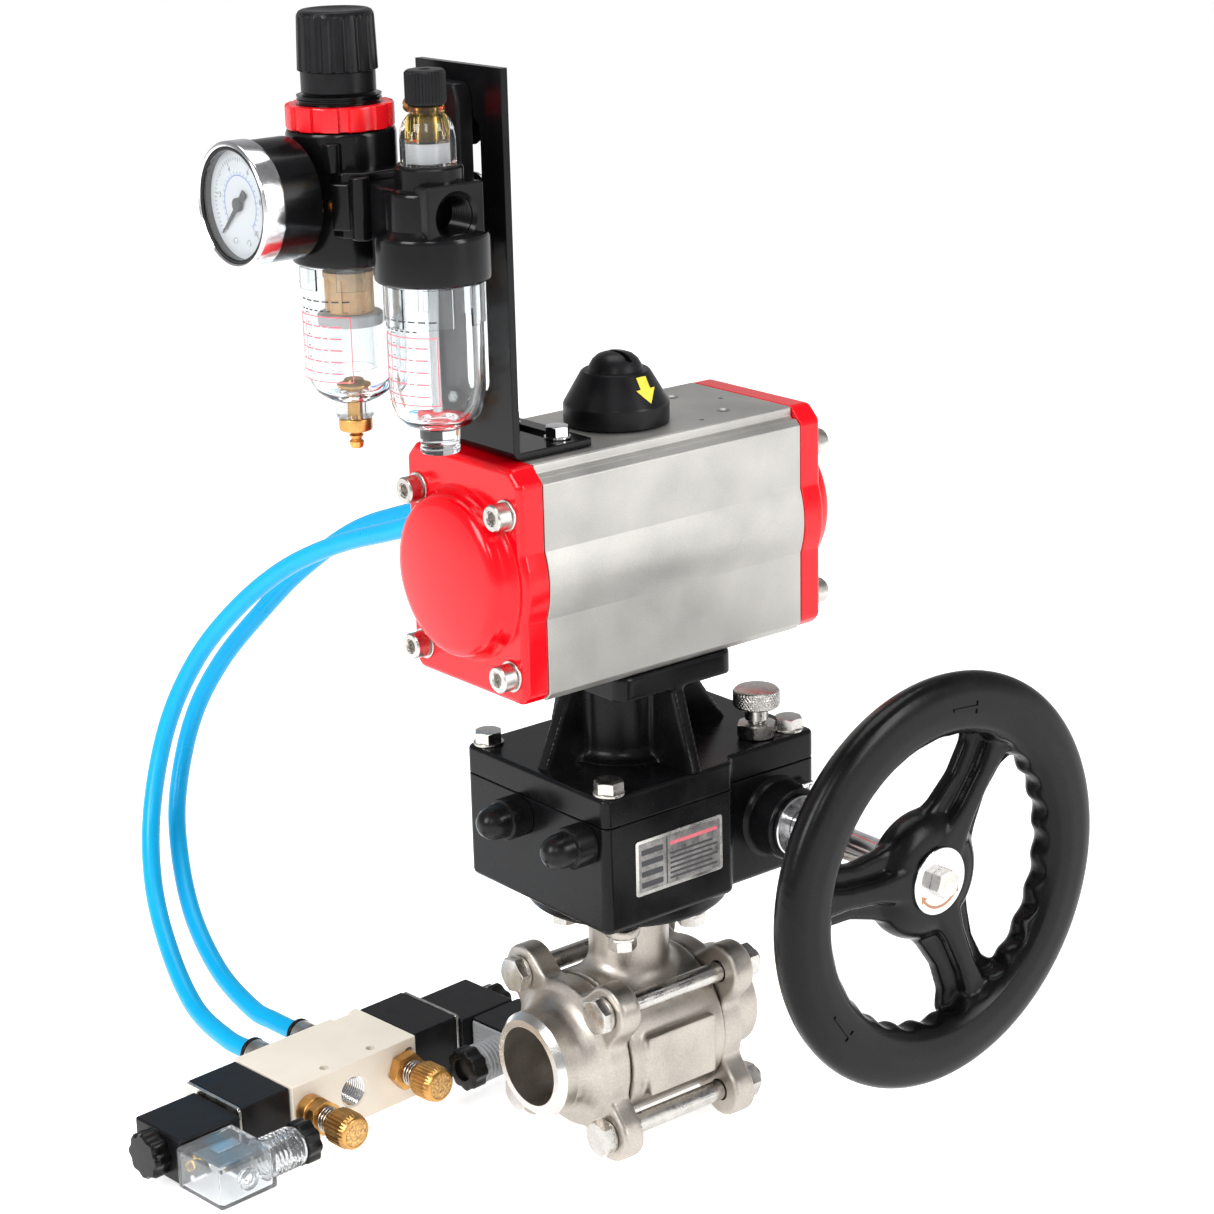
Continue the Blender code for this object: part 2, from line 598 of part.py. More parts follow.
def mounting_bracket(parent):
    """Folded plate: a foot on the actuator's pad and an upright with a long slot."""
    back = PLATE_Y - PLATE_T
    base = ACT_TOP + GAP
    outline = [(back, base), (FOOT_END, base), (FOOT_END, base + PLATE_T),
               (PLATE_Y, base + PLATE_T), (PLATE_Y, PLATE_TOP), (back, PLATE_TOP)]
    bracket = prism(outline, "X", *PLATE)
    upright_slot = shifted(stadium(44.0, 5.0, 90), 3.5, 359.0)
    cut(bracket, prism(upright_slot, "Y", back - 1, PLATE_Y + 1))
    foot_slot = shifted(stadium(18.0, 3.3, 0), 0, -40.0)
    cut(bracket, prism(foot_slot, "Z", base - 1, base + PLATE_T + 1))
    return finish(bracket, "mounting_bracket", BLACK_PAINT, parent, (0, PLATE_Y, base))


def frl_clamp(parent):
    outline = [(-10, 372), (6.5, 372), (6.5, 414), (4.5, 420), (-8, 420), (-10, 414)]
    piece = prism(outline, "Y", -78.6, PLATE_Y - PLATE_T - GAP)
    return finish(piece, "frl_clamp", BLACK_PLASTIC, parent, (-2, -70, 372))


def regulator_body(parent):
    profile = [(0, 354.0), (19.4, 354.0), (19.6, 358.0), (19.6, 402.2), (14.4, 402.2),
               (14.4, 416.0), (0, 416.0)]
    body = turned(profile, "Z", REG)
    join(body, box((REG[0] + 8, -106.5, 370), (-7.4, -83.5, 389)))
    return finish(body, "regulator_body", BLACK_PAINT, parent, (*REG, 354.0))


def panel_nut(parent):
    nut = ring(14.9, 19.2, 402.6, 411.4, "Z", REG)
    return finish(nut, "panel_nut", RED, parent, (*REG, 402.6))


def regulator_knob(parent):
    profile = [(0, 416.4), (13.6, 416.4), (13.6, 422.0), (14.2, 422.4), (13.6, 442.5),
               (12.6, 444.2), (9.0, 445.0), (0, 445.0)]
    return finish(turned(profile, "Z", REG), "regulator_knob", BLACK_PLASTIC, parent, (*REG, 416.4))


def gauge_case(parent):
    """Pressure gauge: a cup with a recessed dial and a stub towards the regulator."""
    face = GAUGE_FACE
    profile = [(0, -114.95), (6.0, -114.95), (6.0, -117.5), (21.4, -117.5), (21.4, face + 8),
               (22.0, face + 8), (22.0, face), (19.6, face), (19.6, face + 5), (0, face + 5)]
    piece = turned(profile, "Y", (REG[0], GAUGE_Z), sides=ROUND)
    return finish(piece, "gauge_case", BLACK_PAINT, parent, (REG[0], face, GAUGE_Z))


def gauge_needle(parent):
    """Needle at zero, pointing down to the left as the dial is read."""
    angle = math.radians(225)
    direction = Vector((math.cos(angle), math.sin(angle)))
    across = Vector((-direction.y, direction.x))
    centre = Vector((REG[0], GAUGE_Z))
    outline = []
    for reach, width in ((-6.0, -1.2), (-6.0, 1.2), (0.0, 1.0), (15.5, 0.2), (15.5, -0.2),
                         (0.0, -1.0)):
        point = centre + direction * reach + across * width
        outline.append((point.x, point.y))
    needle = prism(outline, "Y", GAUGE_FACE + 3.2, GAUGE_FACE + 3.9)
    join(needle, rod(2.2, GAUGE_FACE + 2.4, GAUGE_FACE + 4.6, "Y", (REG[0], GAUGE_Z), sides=12))
    return finish(needle, "gauge_needle", BLACK_PLASTIC, parent,
                  (REG[0], GAUGE_FACE + 3.5, GAUGE_Z))


def filter_bowl(parent):
    profile = [(17.0, 353.7), (17.0, 318.0), (15.0, 311.5), (9.0, 306.4), (3.4, 306.4),
               (3.4, 308.8), (8.5, 309.4), (12.8, 313.0), (14.8, 319.0), (14.8, 353.7)]
    return finish(turned(profile, "Z", REG), "filter_bowl", CLEAR, parent, (*REG, 353.7))


def filter_element(parent):
    profile = [(0, 328.0), (9.5, 328.0), (9.5, 330.0), (4.0, 331.0), (4.0, 338.0), (7.0, 338.0),
               (7.0, 353.5), (0, 353.5)]
    return finish(turned(profile, "Z", REG, sides=12), "filter_element", TAN, parent, (*REG, 353.5))


def bowl_drain(parent):
    """Push-up drain valve with a barbed tip."""
    profile = [(0, 288.0), (2.0, 288.0), (2.7, 291.0), (1.7, 291.6), (2.7, 295.0), (2.0, 296.0),
               (6.2, 297.4), (6.2, 302.8), (3.0, 303.0), (3.0, 309.2), (5.4, 309.2), (5.4, 313.0),
               (0, 313.0)]
    return finish(turned(profile, "Z", REG, sides=12), "bowl_drain", BRASS, parent, (*REG, 288.0))


def lubricator_body(parent):
    profile = [(0, 350.5), (19.8, 350.5), (20.2, 352.0), (20.2, 369.0), (16.0, 371.0),
               (16.0, 387.0), (11.8, 388.0), (11.8, 396.0), (0, 396.0)]
    body = turned(profile, "Z", LUB)
    join(body, box((-7.0, -106.8, 370.5), (34.0, -83.2, 389.0)))
    cut(body, rod(8.0, 20.0, 36.0, "X", (-95.0, 380.0)))
    return finish(body, "lubricator_body", BLACK_PAINT, parent, (*LUB, 350.5))


def lubricator_bowl(parent):
    profile = [(0, 292.0), (6.6, 292.0), (7.2, 293.0), (7.2, 303.0), (11.5, 305.0), (15.2, 309.5),
               (16.8, 317.0), (16.8, 350.2), (14.6, 350.2), (14.6, 318.0), (12.4, 311.0),
               (8.0, 308.0), (0, 307.4)]
    return finish(turned(profile, "Z", LUB), "lubricator_bowl", CLEAR, parent, (*LUB, 350.2))


def lubricator_dome(parent):
    profile = [(3.2, 396.3), (9.6, 396.3), (9.6, 407.0), (6.4, 413.6), (3.2, 413.6)]
    return finish(turned(profile, "Z", LUB), "lubricator_dome", CLEAR, parent, (*LUB, 396.3))


def lubricator_knob(parent):
    profile = [(0, 399.0), (2.9, 399.0), (2.9, 414.0), (4.4, 414.0), (4.4, 416.0), (6.9, 416.0),
               (6.9, 427.6), (6.2, 428.2), (0, 428.2)]
    return finish(turned(profile, "Z", LUB, sides=16), "lubricator_knob", BLACK_PLASTIC, parent,
                  (*LUB, 416.0))


# ---------------------------------------------------------------- solenoid valve

def solenoid_block(parent):
    block = box((-BLOCK_X, -BLOCK_Y, 0), (BLOCK_X, BLOCK_Y, BLOCK_Z))
    cut(block, rod(7.2, -BLOCK_Y - 1, BLOCK_Y + 1, "Y", (0, SPOOL_Z), sides=16))
    cut(block, rod(6.2, 0.0, BLOCK_X + 1, "X", (-1.0, 14.0), sides=14))
    for side in (-1, 1):
        cut(block, rod(5.3, 5.0, BLOCK_X + 1, "X", (side * SILENCER_Y, SILENCER_Z), sides=12))
        cut(block, rod(5.3, -BLOCK_X - 1, -5.0, "X", (side * FITTING_Y, FITTING_Z), sides=12))
        cut(block, rod(2.0, -1, BLOCK_Z + 1, "Z", (14.3, side * 12.0), sides=8))
    return finish(block, "solenoid_block", CREAM, parent)


def solenoid_spool(parent):
    """Spool with five lands."""
    profile = [(0, -28.0)]
    for k in range(5):
        start = -28.0 + 11.0 * k
        profile += [(6.8, start), (6.8, start + 7.0), (4.0, start + 7.5), (4.0, start + 10.5)]
    profile = profile[:-2] + [(0, 23.0)]
    return finish(turned(profile, "Y", (0, SPOOL_Z), sides=12), "solenoid_spool", ALUMINIUM, parent,
                  (0, 0, SPOOL_Z))


def pilot(side, name, parent):
    low, high = sorted((side * (BLOCK_Y + GAP), side * PILOT_END))
    piece = box((-17.5, low, 0), (17.5, high, 26.6))
    return finish(piece, name, BLACK_PLASTIC, parent, (0, side * BLOCK_Y, 0))


def coil(side, name, parent):
    """Coil with the nut that holds it on its core tube."""
    low, high = sorted((side * (PILOT_END + GAP), side * 86.0))
    piece = box((-11, low, 5.0), (19, high, 24.6))
    nut = turned([(0, side * 85.0), (9.4, side * 85.0), (9.4, side * 92.0), (8.4, side * 93.6),
                  (0, side * 93.6)], "Y", (3, 15), sides=14)
    join(piece, nut)
    return finish(piece, name, BLACK_PLASTIC, parent, (3, side * PILOT_END, 15))


def connector(side, name, look, parent):
    """Plug on the coil, with its cable gland turned back along the pilot."""
    low, high = sorted((side * 62.0, side * 89.0))
    plug = box((19.3, low, 6.5), (47.5, high, 23.5))
    gland = turned([(0, side * 63.0), (8.2, side * 63.0), (8.2, side * 46.0), (9.0, side * 45.0),
                    (9.0, side * 39.5), (0, side * 39.5)], "Y", (38.5, 15), sides=16)
    join(plug, gland)
    return finish(plug, name, look, parent, (19.3, side * 75.0, 15))


def silencer_head(side, start, name, parent):
    """Throttling silencer's adjustable head on its threaded stem."""
    profile = [(0, 8.0), (3.0, 8.0), (3.0, start), (6.4, start), (7.3, start + 1.6),
               (7.3, start + 11.5), (6.4, start + 13.0), (0, start + 13.0)]
    piece = turned(profile, "X", (side * SILENCER_Y, SILENCER_Z), sides=14)
    return finish(piece, name, BRASS, parent, (start, side * SILENCER_Y, SILENCER_Z))


def tube_fitting(face_x, thread_end, y, z, name, parent):
    """Push-in fitting on a face that looks towards -X."""
    profile = [(0, thread_end), (4.9, thread_end), (4.9, face_x - GAP), (6.6, face_x - GAP),
               (6.6, face_x - 6.5), (6.0, face_x - 7.0), (6.0, face_x - 14.5), (0, face_x - 14.5)]
    piece = turned(profile, "X", (y, z), sides=12)
    return finish(piece, name, STEEL, parent, (face_x, y, z))


# ---------------------------------------------------------------- air tubes

def smooth_route(points, count):
    """Even points along a Catmull-Rom curve through the route's points."""
    knots = [Vector(p) for p in points]
    knots = [2 * knots[0] - knots[1]] + knots + [2 * knots[-1] - knots[-2]]
    dense = []
    for p0, p1, p2, p3 in zip(knots, knots[1:], knots[2:], knots[3:]):
        for k in range(16):
            t = k / 16
            dense.append(0.5 * (2 * p1 + (p2 - p0) * t + (2 * p0 - 5 * p1 + 4 * p2 - p3) * t ** 2
                                + (3 * p1 - p0 - 3 * p2 + p3) * t ** 3))
    dense.append(knots[-2])
    reach = [0.0]
    for a, b in zip(dense, dense[1:]):
        reach.append(reach[-1] + (b - a).length)
    route, index = [], 0
    for k in range(count):
        target = reach[-1] * k / (count - 1)
        while index < len(dense) - 2 and reach[index + 1] < target:
            index += 1
        share = (target - reach[index]) / (reach[index + 1] - reach[index])
        route.append(dense[index].lerp(dense[index + 1], min(share, 1.0)))
    return route


def air_tube(points, name, parent):
    curve = bpy.data.curves.new(name, "CURVE")
    curve.dimensions = "3D"
    curve.bevel_depth = TUBE_R * MM
    curve.bevel_resolution = 2
    curve.use_fill_caps = True
    route = smooth_route(points, TUBE_POINTS)
    spline = curve.splines.new("POLY")
    spline.points.add(len(route) - 1)
    for target, point in zip(spline.points, route):
        target.co = (*(point * MM), 1.0)
    obj = bpy.data.objects.new(name, curve)
    bpy.context.scene.collection.objects.link(obj)
    obj.parent = parent
    material = bpy.data.materials.new(name)
    material.use_nodes = True
    material.node_tree.nodes["Principled BSDF"].inputs["Base Color"].default_value = (*BLUE[0], 1.0)
    curve.materials.append(material)
    return obj


# ---------------------------------------------------------------- assembly

def main():
    for obj in list(bpy.data.objects):
        bpy.data.objects.remove(obj)
    stem = empty("stem_frame", (*STEM, 0), 0)
    solenoid = empty("solenoid_frame", (*SOLENOID, 0), SOLENOID_TURN, stem)

    valve_body(stem)
    end_cap(-1, "front_end_cap", stem)
    end_cap(1, "rear_end_cap", stem)
    corners = [(x, z) for z in (TIE, -TIE) for x in (-TIE, TIE)]
    for number, (x, z) in enumerate(corners, 1):
        tie_bolt(x, z, f"tie_bolt_{number}", stem)
    seat(-1, "front_seat", stem)
    seat(1, "rear_seat", stem)
    valve_ball(stem)
    valve_stem(stem)

    gearbox_housing(stem)
    gearbox_cover(stem)
    for number, x in enumerate((-8.5, 31.0), 1):
        stop_cap(x, f"stop_cap_{number}", stem)
    worm_wheel(stem)
    worm_shaft(stem)
    eccentric_sleeve(stem)
    knob_nut(stem)
    lock_knob(stem)
    handwheel(stem)
    hub_bolt(stem)

    actuator_body(stem)
    actuator_cap(-1, "front_cap", stem)
    actuator_cap(1, "rear_cap", stem)
    pinion_shaft(stem)
    piston(-1, "front_piston", stem)
    piston(1, "rear_piston", stem)
    position_indicator(stem)

    mounting_bracket(stem)
    frl_clamp(stem)
    regulator_body(stem)
    panel_nut(stem)
    regulator_knob(stem)
    gauge_case(stem)
    gauge_needle(stem)
    filter_bowl(stem)
    filter_element(stem)
    bowl_drain(stem)
    lubricator_body(stem)
    lubricator_bowl(stem)
    lubricator_dome(stem)
    lubricator_knob(stem)

    solenoid_block(solenoid)
    solenoid_spool(solenoid)
    for side, word, look in ((-1, "front", CLEAR), (1, "rear", BLACK_PLASTIC)):
        pilot(side, f"{word}_pilot", solenoid)
        coil(side, f"{word}_coil", solenoid)
        connector(side, f"{word}_connector", look, solenoid)
    silencer_head(-1, 36.0, "front_silencer_head", solenoid)
    silencer_head(1, 30.0, "rear_silencer_head", solenoid)
    for side, word in ((-1, "front"), (1, "rear")):
        tube_fitting(-BLOCK_X, -12.0, side * FITTING_Y, FITTING_Z, f"{word}_valve_fitting", solenoid)
        tube_fitting(-36.4, -32.5, side * PORT_Y, ACT_Z, f"{word}_actuator_fitting", stem)

    air_tube(FRONT_TUBE, "front_air_tube", stem)
    air_tube(REAR_TUBE, "rear_air_tube", stem)


main()
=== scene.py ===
"""Looks for the pneumatic actuated valve: fine surfaces, trim, materials, camera and light.

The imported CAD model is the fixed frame. Pieces are built in millimetres, measured from the stem
axis (X, Y) and the floor (Z), as the CAD source measures them, and show() puts them in the frame.
"""
import math

import bmesh
import bpy
from mathutils import Matrix, Vector


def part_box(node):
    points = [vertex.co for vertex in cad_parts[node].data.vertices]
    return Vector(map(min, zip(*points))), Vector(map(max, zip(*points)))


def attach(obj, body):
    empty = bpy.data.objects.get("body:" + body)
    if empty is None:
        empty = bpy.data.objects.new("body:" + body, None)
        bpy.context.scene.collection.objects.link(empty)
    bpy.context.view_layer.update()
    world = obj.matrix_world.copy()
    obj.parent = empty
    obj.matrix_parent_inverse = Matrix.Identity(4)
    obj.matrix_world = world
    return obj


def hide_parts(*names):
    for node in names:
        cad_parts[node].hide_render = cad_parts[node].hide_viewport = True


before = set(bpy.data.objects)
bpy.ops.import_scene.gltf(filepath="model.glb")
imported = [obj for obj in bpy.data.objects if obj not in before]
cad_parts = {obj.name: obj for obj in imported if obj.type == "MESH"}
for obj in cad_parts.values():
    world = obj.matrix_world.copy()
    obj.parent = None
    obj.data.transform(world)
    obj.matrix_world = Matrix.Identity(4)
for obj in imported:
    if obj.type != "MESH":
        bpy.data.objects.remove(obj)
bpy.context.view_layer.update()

MM = 0.001
stem_low, stem_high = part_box("valve_stem")
STEM = Vector(((stem_low.x + stem_high.x) / 2, (stem_low.y + stem_high.y) / 2, 0))
STEM_FRAME = Matrix.Translation(STEM) @ Matrix.Scale(MM, 4)
SOLENOID_FRAME = (STEM_FRAME @ Matrix.Translation((-85.3, -90.7, 0))
                  @ Matrix.Rotation(math.radians(5), 4, "Z"))

ENDS = ((-1, "front"), (1, "rear"))

# Driving dimensions, as in the CAD
PIPE_Z, PIPE_R, BORE_R, PIPE_END = 37.0, 21.2, 16.0, 52.0
BODY_R, TIE, EAR_R = 31.0, 26.0, 11.0
FLANGE_IN, FLANGE_OUT = 24.0, 34.0
PAD_LOW, PAD_TOP, PAD_BOLT = 88.5, 97.0, 17.7
BOX_FACE, BOX_TOP, COVER_TOP = 43.0, 146.5, 158.0
WORM_Y, WORM_Z, ECCENTRIC = 44.5, 127.5, 0.8
WORM, SLEEVE = (WORM_Y, WORM_Z), (WORM_Y - ECCENTRIC, WORM_Z)
LOCK = (28.0, 44.0)
HUB_FRONT = 126.0
ACT_LOW, ACT_TOP, ACT_Z, ACT_HALF = 199.0, 287.0, 243.0, 62.0
ACCESSORY_X, ACCESSORY_Y = 15.0, 40.0       # the standard 30 x 80 hole pattern, halved
CAP_IN, CAP_OUT = 62.3, 73.0
SECTION_HALF, SIDE_X, BULGE_R = 44.0, 34.2, 36.5    # the extrusion's section
BULGE_RISE = math.sqrt(BULGE_R ** 2 - SIDE_X ** 2)
REG, LUB = (-33.0, -95.0), (19.0, -95.0)
OUTLET = (LUB[1], 380.0)
GAUGE_Z, GAUGE_FACE = 382.0, -142.0
PLATE_BACK, PLATE_FRONT, PLATE_TOP = -66.5, -63.5, 426.0
SILENCER_Y, SILENCER_Z = 24.5, 15.0
# in the solenoid valve's own frame
SUPPLY, OUTPUT_Y, OUTPUT_Z = (-1.0, 14.0), 12.0, 18.0
GLAND, PLUG_SCREW_Y = (38.5, 15.0), 75.5


def add_object(name, data):
    obj = bpy.data.objects.new(name, data)
    bpy.context.scene.collection.objects.link(obj)
    return obj


# ---------------------------------------------------------------- camera and air tubes

def add_camera():
    data = bpy.data.cameras.new("camera")
    data.lens = 84.63
    data.sensor_width = 36.0
    camera = add_object("camera", data)
    right = Vector((0.63361, 0.77328, -0.02380))
    up = Vector((-0.21880, 0.20861, 0.95320))
    back = Vector((0.74206, -0.59877, 0.30137))
    turn = Matrix((right, up, back)).transposed().to_4x4()
    camera.matrix_world = Matrix.Translation((0.80111, -0.62786, 0.54310)) @ turn
    bpy.context.scene.camera = camera


# The routes run from the actuator's fittings to the solenoid valve's, in metres from the stem.
FRONT_TUBE = [
    (-0.052, -0.012, 0.2435), (-0.066, -0.012, 0.2432), (-0.092, -0.015, 0.2356),
    (-0.1174, -0.0196, 0.2246), (-0.1561, -0.0245, 0.211), (-0.1884, -0.0315, 0.1945),
    (-0.2151, -0.0404, 0.1724), (-0.2345, -0.0507, 0.1467), (-0.2429, -0.0628, 0.1165),
    (-0.2375, -0.0765, 0.0824), (-0.2199, -0.0885, 0.056), (-0.1934, -0.098, 0.036),
    (-0.162, -0.1055, 0.0225), (-0.1342, -0.1072, 0.0183), (-0.1186, -0.1057, 0.018)]
REAR_TUBE = [
    (-0.052, 0.012, 0.2435), (-0.066, 0.012, 0.2433), (-0.105, 0.0085, 0.234),
    (-0.1459, 0.0025, 0.2209), (-0.1776, -0.0024, 0.2077), (-0.2053, -0.0116, 0.1867),
    (-0.2237, -0.0197, 0.1673), (-0.2449, -0.0313, 0.1396), (-0.2543, -0.0428, 0.1124),
    (-0.2501, -0.0556, 0.0817), (-0.2355, -0.0655, 0.06), (-0.2112, -0.075, 0.0395),
    (-0.1804, -0.0815, 0.025), (-0.15, -0.0843, 0.0188), (-0.1364, -0.0832, 0.0181),
    (-0.1207, -0.0818, 0.018)]
TUBE_DIAMETER = 0.008


def smooth_route(points, count):
    """Even points along a Catmull-Rom curve through the route's points."""
    knots = [Vector(p) for p in points]
    knots = [2 * knots[0] - knots[1]] + knots + [2 * knots[-1] - knots[-2]]
    dense = []
    for p0, p1, p2, p3 in zip(knots, knots[1:], knots[2:], knots[3:]):
        for k in range(24):
            t = k / 24
            dense.append(0.5 * (2 * p1 + (p2 - p0) * t + (2 * p0 - 5 * p1 + 4 * p2 - p3) * t ** 2
                                + (3 * p1 - p0 - 3 * p2 + p3) * t ** 3))
    dense.append(knots[-2])
    reach = [0.0]
    for a, b in zip(dense, dense[1:]):
        reach.append(reach[-1] + (b - a).length)
    route, index = [], 0
    for k in range(count):
        target = reach[-1] * k / (count - 1)
        while index < len(dense) - 2 and reach[index + 1] < target:
            index += 1
        share = (target - reach[index]) / (reach[index + 1] - reach[index])
        route.append(dense[index].lerp(dense[index + 1], min(share, 1.0)))
    return route


def add_tube(name, points, node):
    curve = bpy.data.curves.new(name, "CURVE")
    curve.dimensions = "3D"
    curve.bevel_depth = 1.0     # the points' own radius sets the size
    curve.bevel_resolution = 8
    curve.use_fill_caps = True
    route = [point + STEM for point in smooth_route(points, 110)]
    spline = curve.splines.new("POLY")
    spline.points.add(len(route) - 1)
    for target, point in zip(spline.points, route):
        target.co = (*point, 1.0)
        target.radius = TUBE_DIAMETER / 2
    spline.use_smooth = True
    tube = add_object(name, curve)
    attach(tube, "base")
    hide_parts(node)
    return tube


add_camera()
tubes = [add_tube("front_tube", FRONT_TUBE, "front_air_tube"),
         add_tube("rear_tube", REAR_TUBE, "rear_air_tube")]


# ---------------------------------------------------------------- materials

def add_node(tree, kind, **values):
    """A node with its settings and its inputs given by name."""
    node = tree.nodes.new(kind)
    for key, value in values.items():
        if key in node.inputs:
            node.inputs[key].default_value = value
        else:
            setattr(node, key, value)
    return node


def make_look(name, colour, roughness, metallic=0.0, grain=900.0, depth=0.02, mottle=0.12,
              patch=90.0, rough_spread=0.08, cells=False, sockets=()):
    """A procedural finish: patches of tone, a varying roughness and a fine grain in the surface.

    grain and patch are feature counts per metre, depth is the grain's height in millimetres.
    """
    material = bpy.data.materials.new(name)
    material.use_nodes = True
    tree = material.node_tree
    shader = tree.nodes["Principled BSDF"]
    shader.inputs["Metallic"].default_value = metallic
    for socket, value in dict(sockets).items():
        shader.inputs[socket].default_value = value
    place = add_node(tree, "ShaderNodeTexCoord")
    tone = add_node(tree, "ShaderNodeTexNoise", Scale=patch, Detail=4.0)
    speck = add_node(tree, "ShaderNodeTexNoise", Scale=grain * 0.8, Detail=2.0)
    both = add_node(tree, "ShaderNodeMath", operation="MULTIPLY_ADD")
    both.inputs[1].default_value = 0.5
    dark = [c * (1 - mottle) for c in colour]
    light = [min(1.0, c * (1 + mottle)) for c in colour]
    ramp = add_node(tree, "ShaderNodeValToRGB")
    ramp.color_ramp.elements[0].position = 0.5
    ramp.color_ramp.elements[1].position = 1.0
    ramp.color_ramp.elements[0].color = (*dark, 1)
    ramp.color_ramp.elements[1].color = (*light, 1)
    for noise in (tone, speck):
        tree.links.new(place.outputs["Object"], noise.inputs["Vector"])
    tree.links.new(speck.outputs["Fac"], both.inputs[0])
    tree.links.new(tone.outputs["Fac"], both.inputs[2])
    tree.links.new(both.outputs[0], ramp.inputs["Fac"])
    tree.links.new(ramp.outputs["Color"], shader.inputs["Base Color"])
    spread = add_node(tree, "ShaderNodeMapRange")
    spread.inputs["From Min"].default_value = 0.3
    spread.inputs["From Max"].default_value = 0.7
    spread.inputs["To Min"].default_value = max(0.0, roughness - rough_spread)
    spread.inputs["To Max"].default_value = min(1.0, roughness + rough_spread)
    tree.links.new(tone.outputs["Fac"], spread.inputs["Value"])
    tree.links.new(spread.outputs["Result"], shader.inputs["Roughness"])
    if depth:
        kind = "ShaderNodeTexVoronoi" if cells else "ShaderNodeTexNoise"
        rough = add_node(tree, kind, Scale=grain)
        bump = add_node(tree, "ShaderNodeBump", Strength=0.6, Distance=depth * MM)
        tree.links.new(place.outputs["Object"], rough.inputs["Vector"])
        tree.links.new(rough.outputs[0], bump.inputs["Height"])
        tree.links.new(bump.outputs["Normal"], shader.inputs["Normal"])
    return material


CLEAR_SOCKETS = {"Transmission Weight": 1.0, "IOR": 1.4}
DULL = {"Specular IOR Level": 0.2}

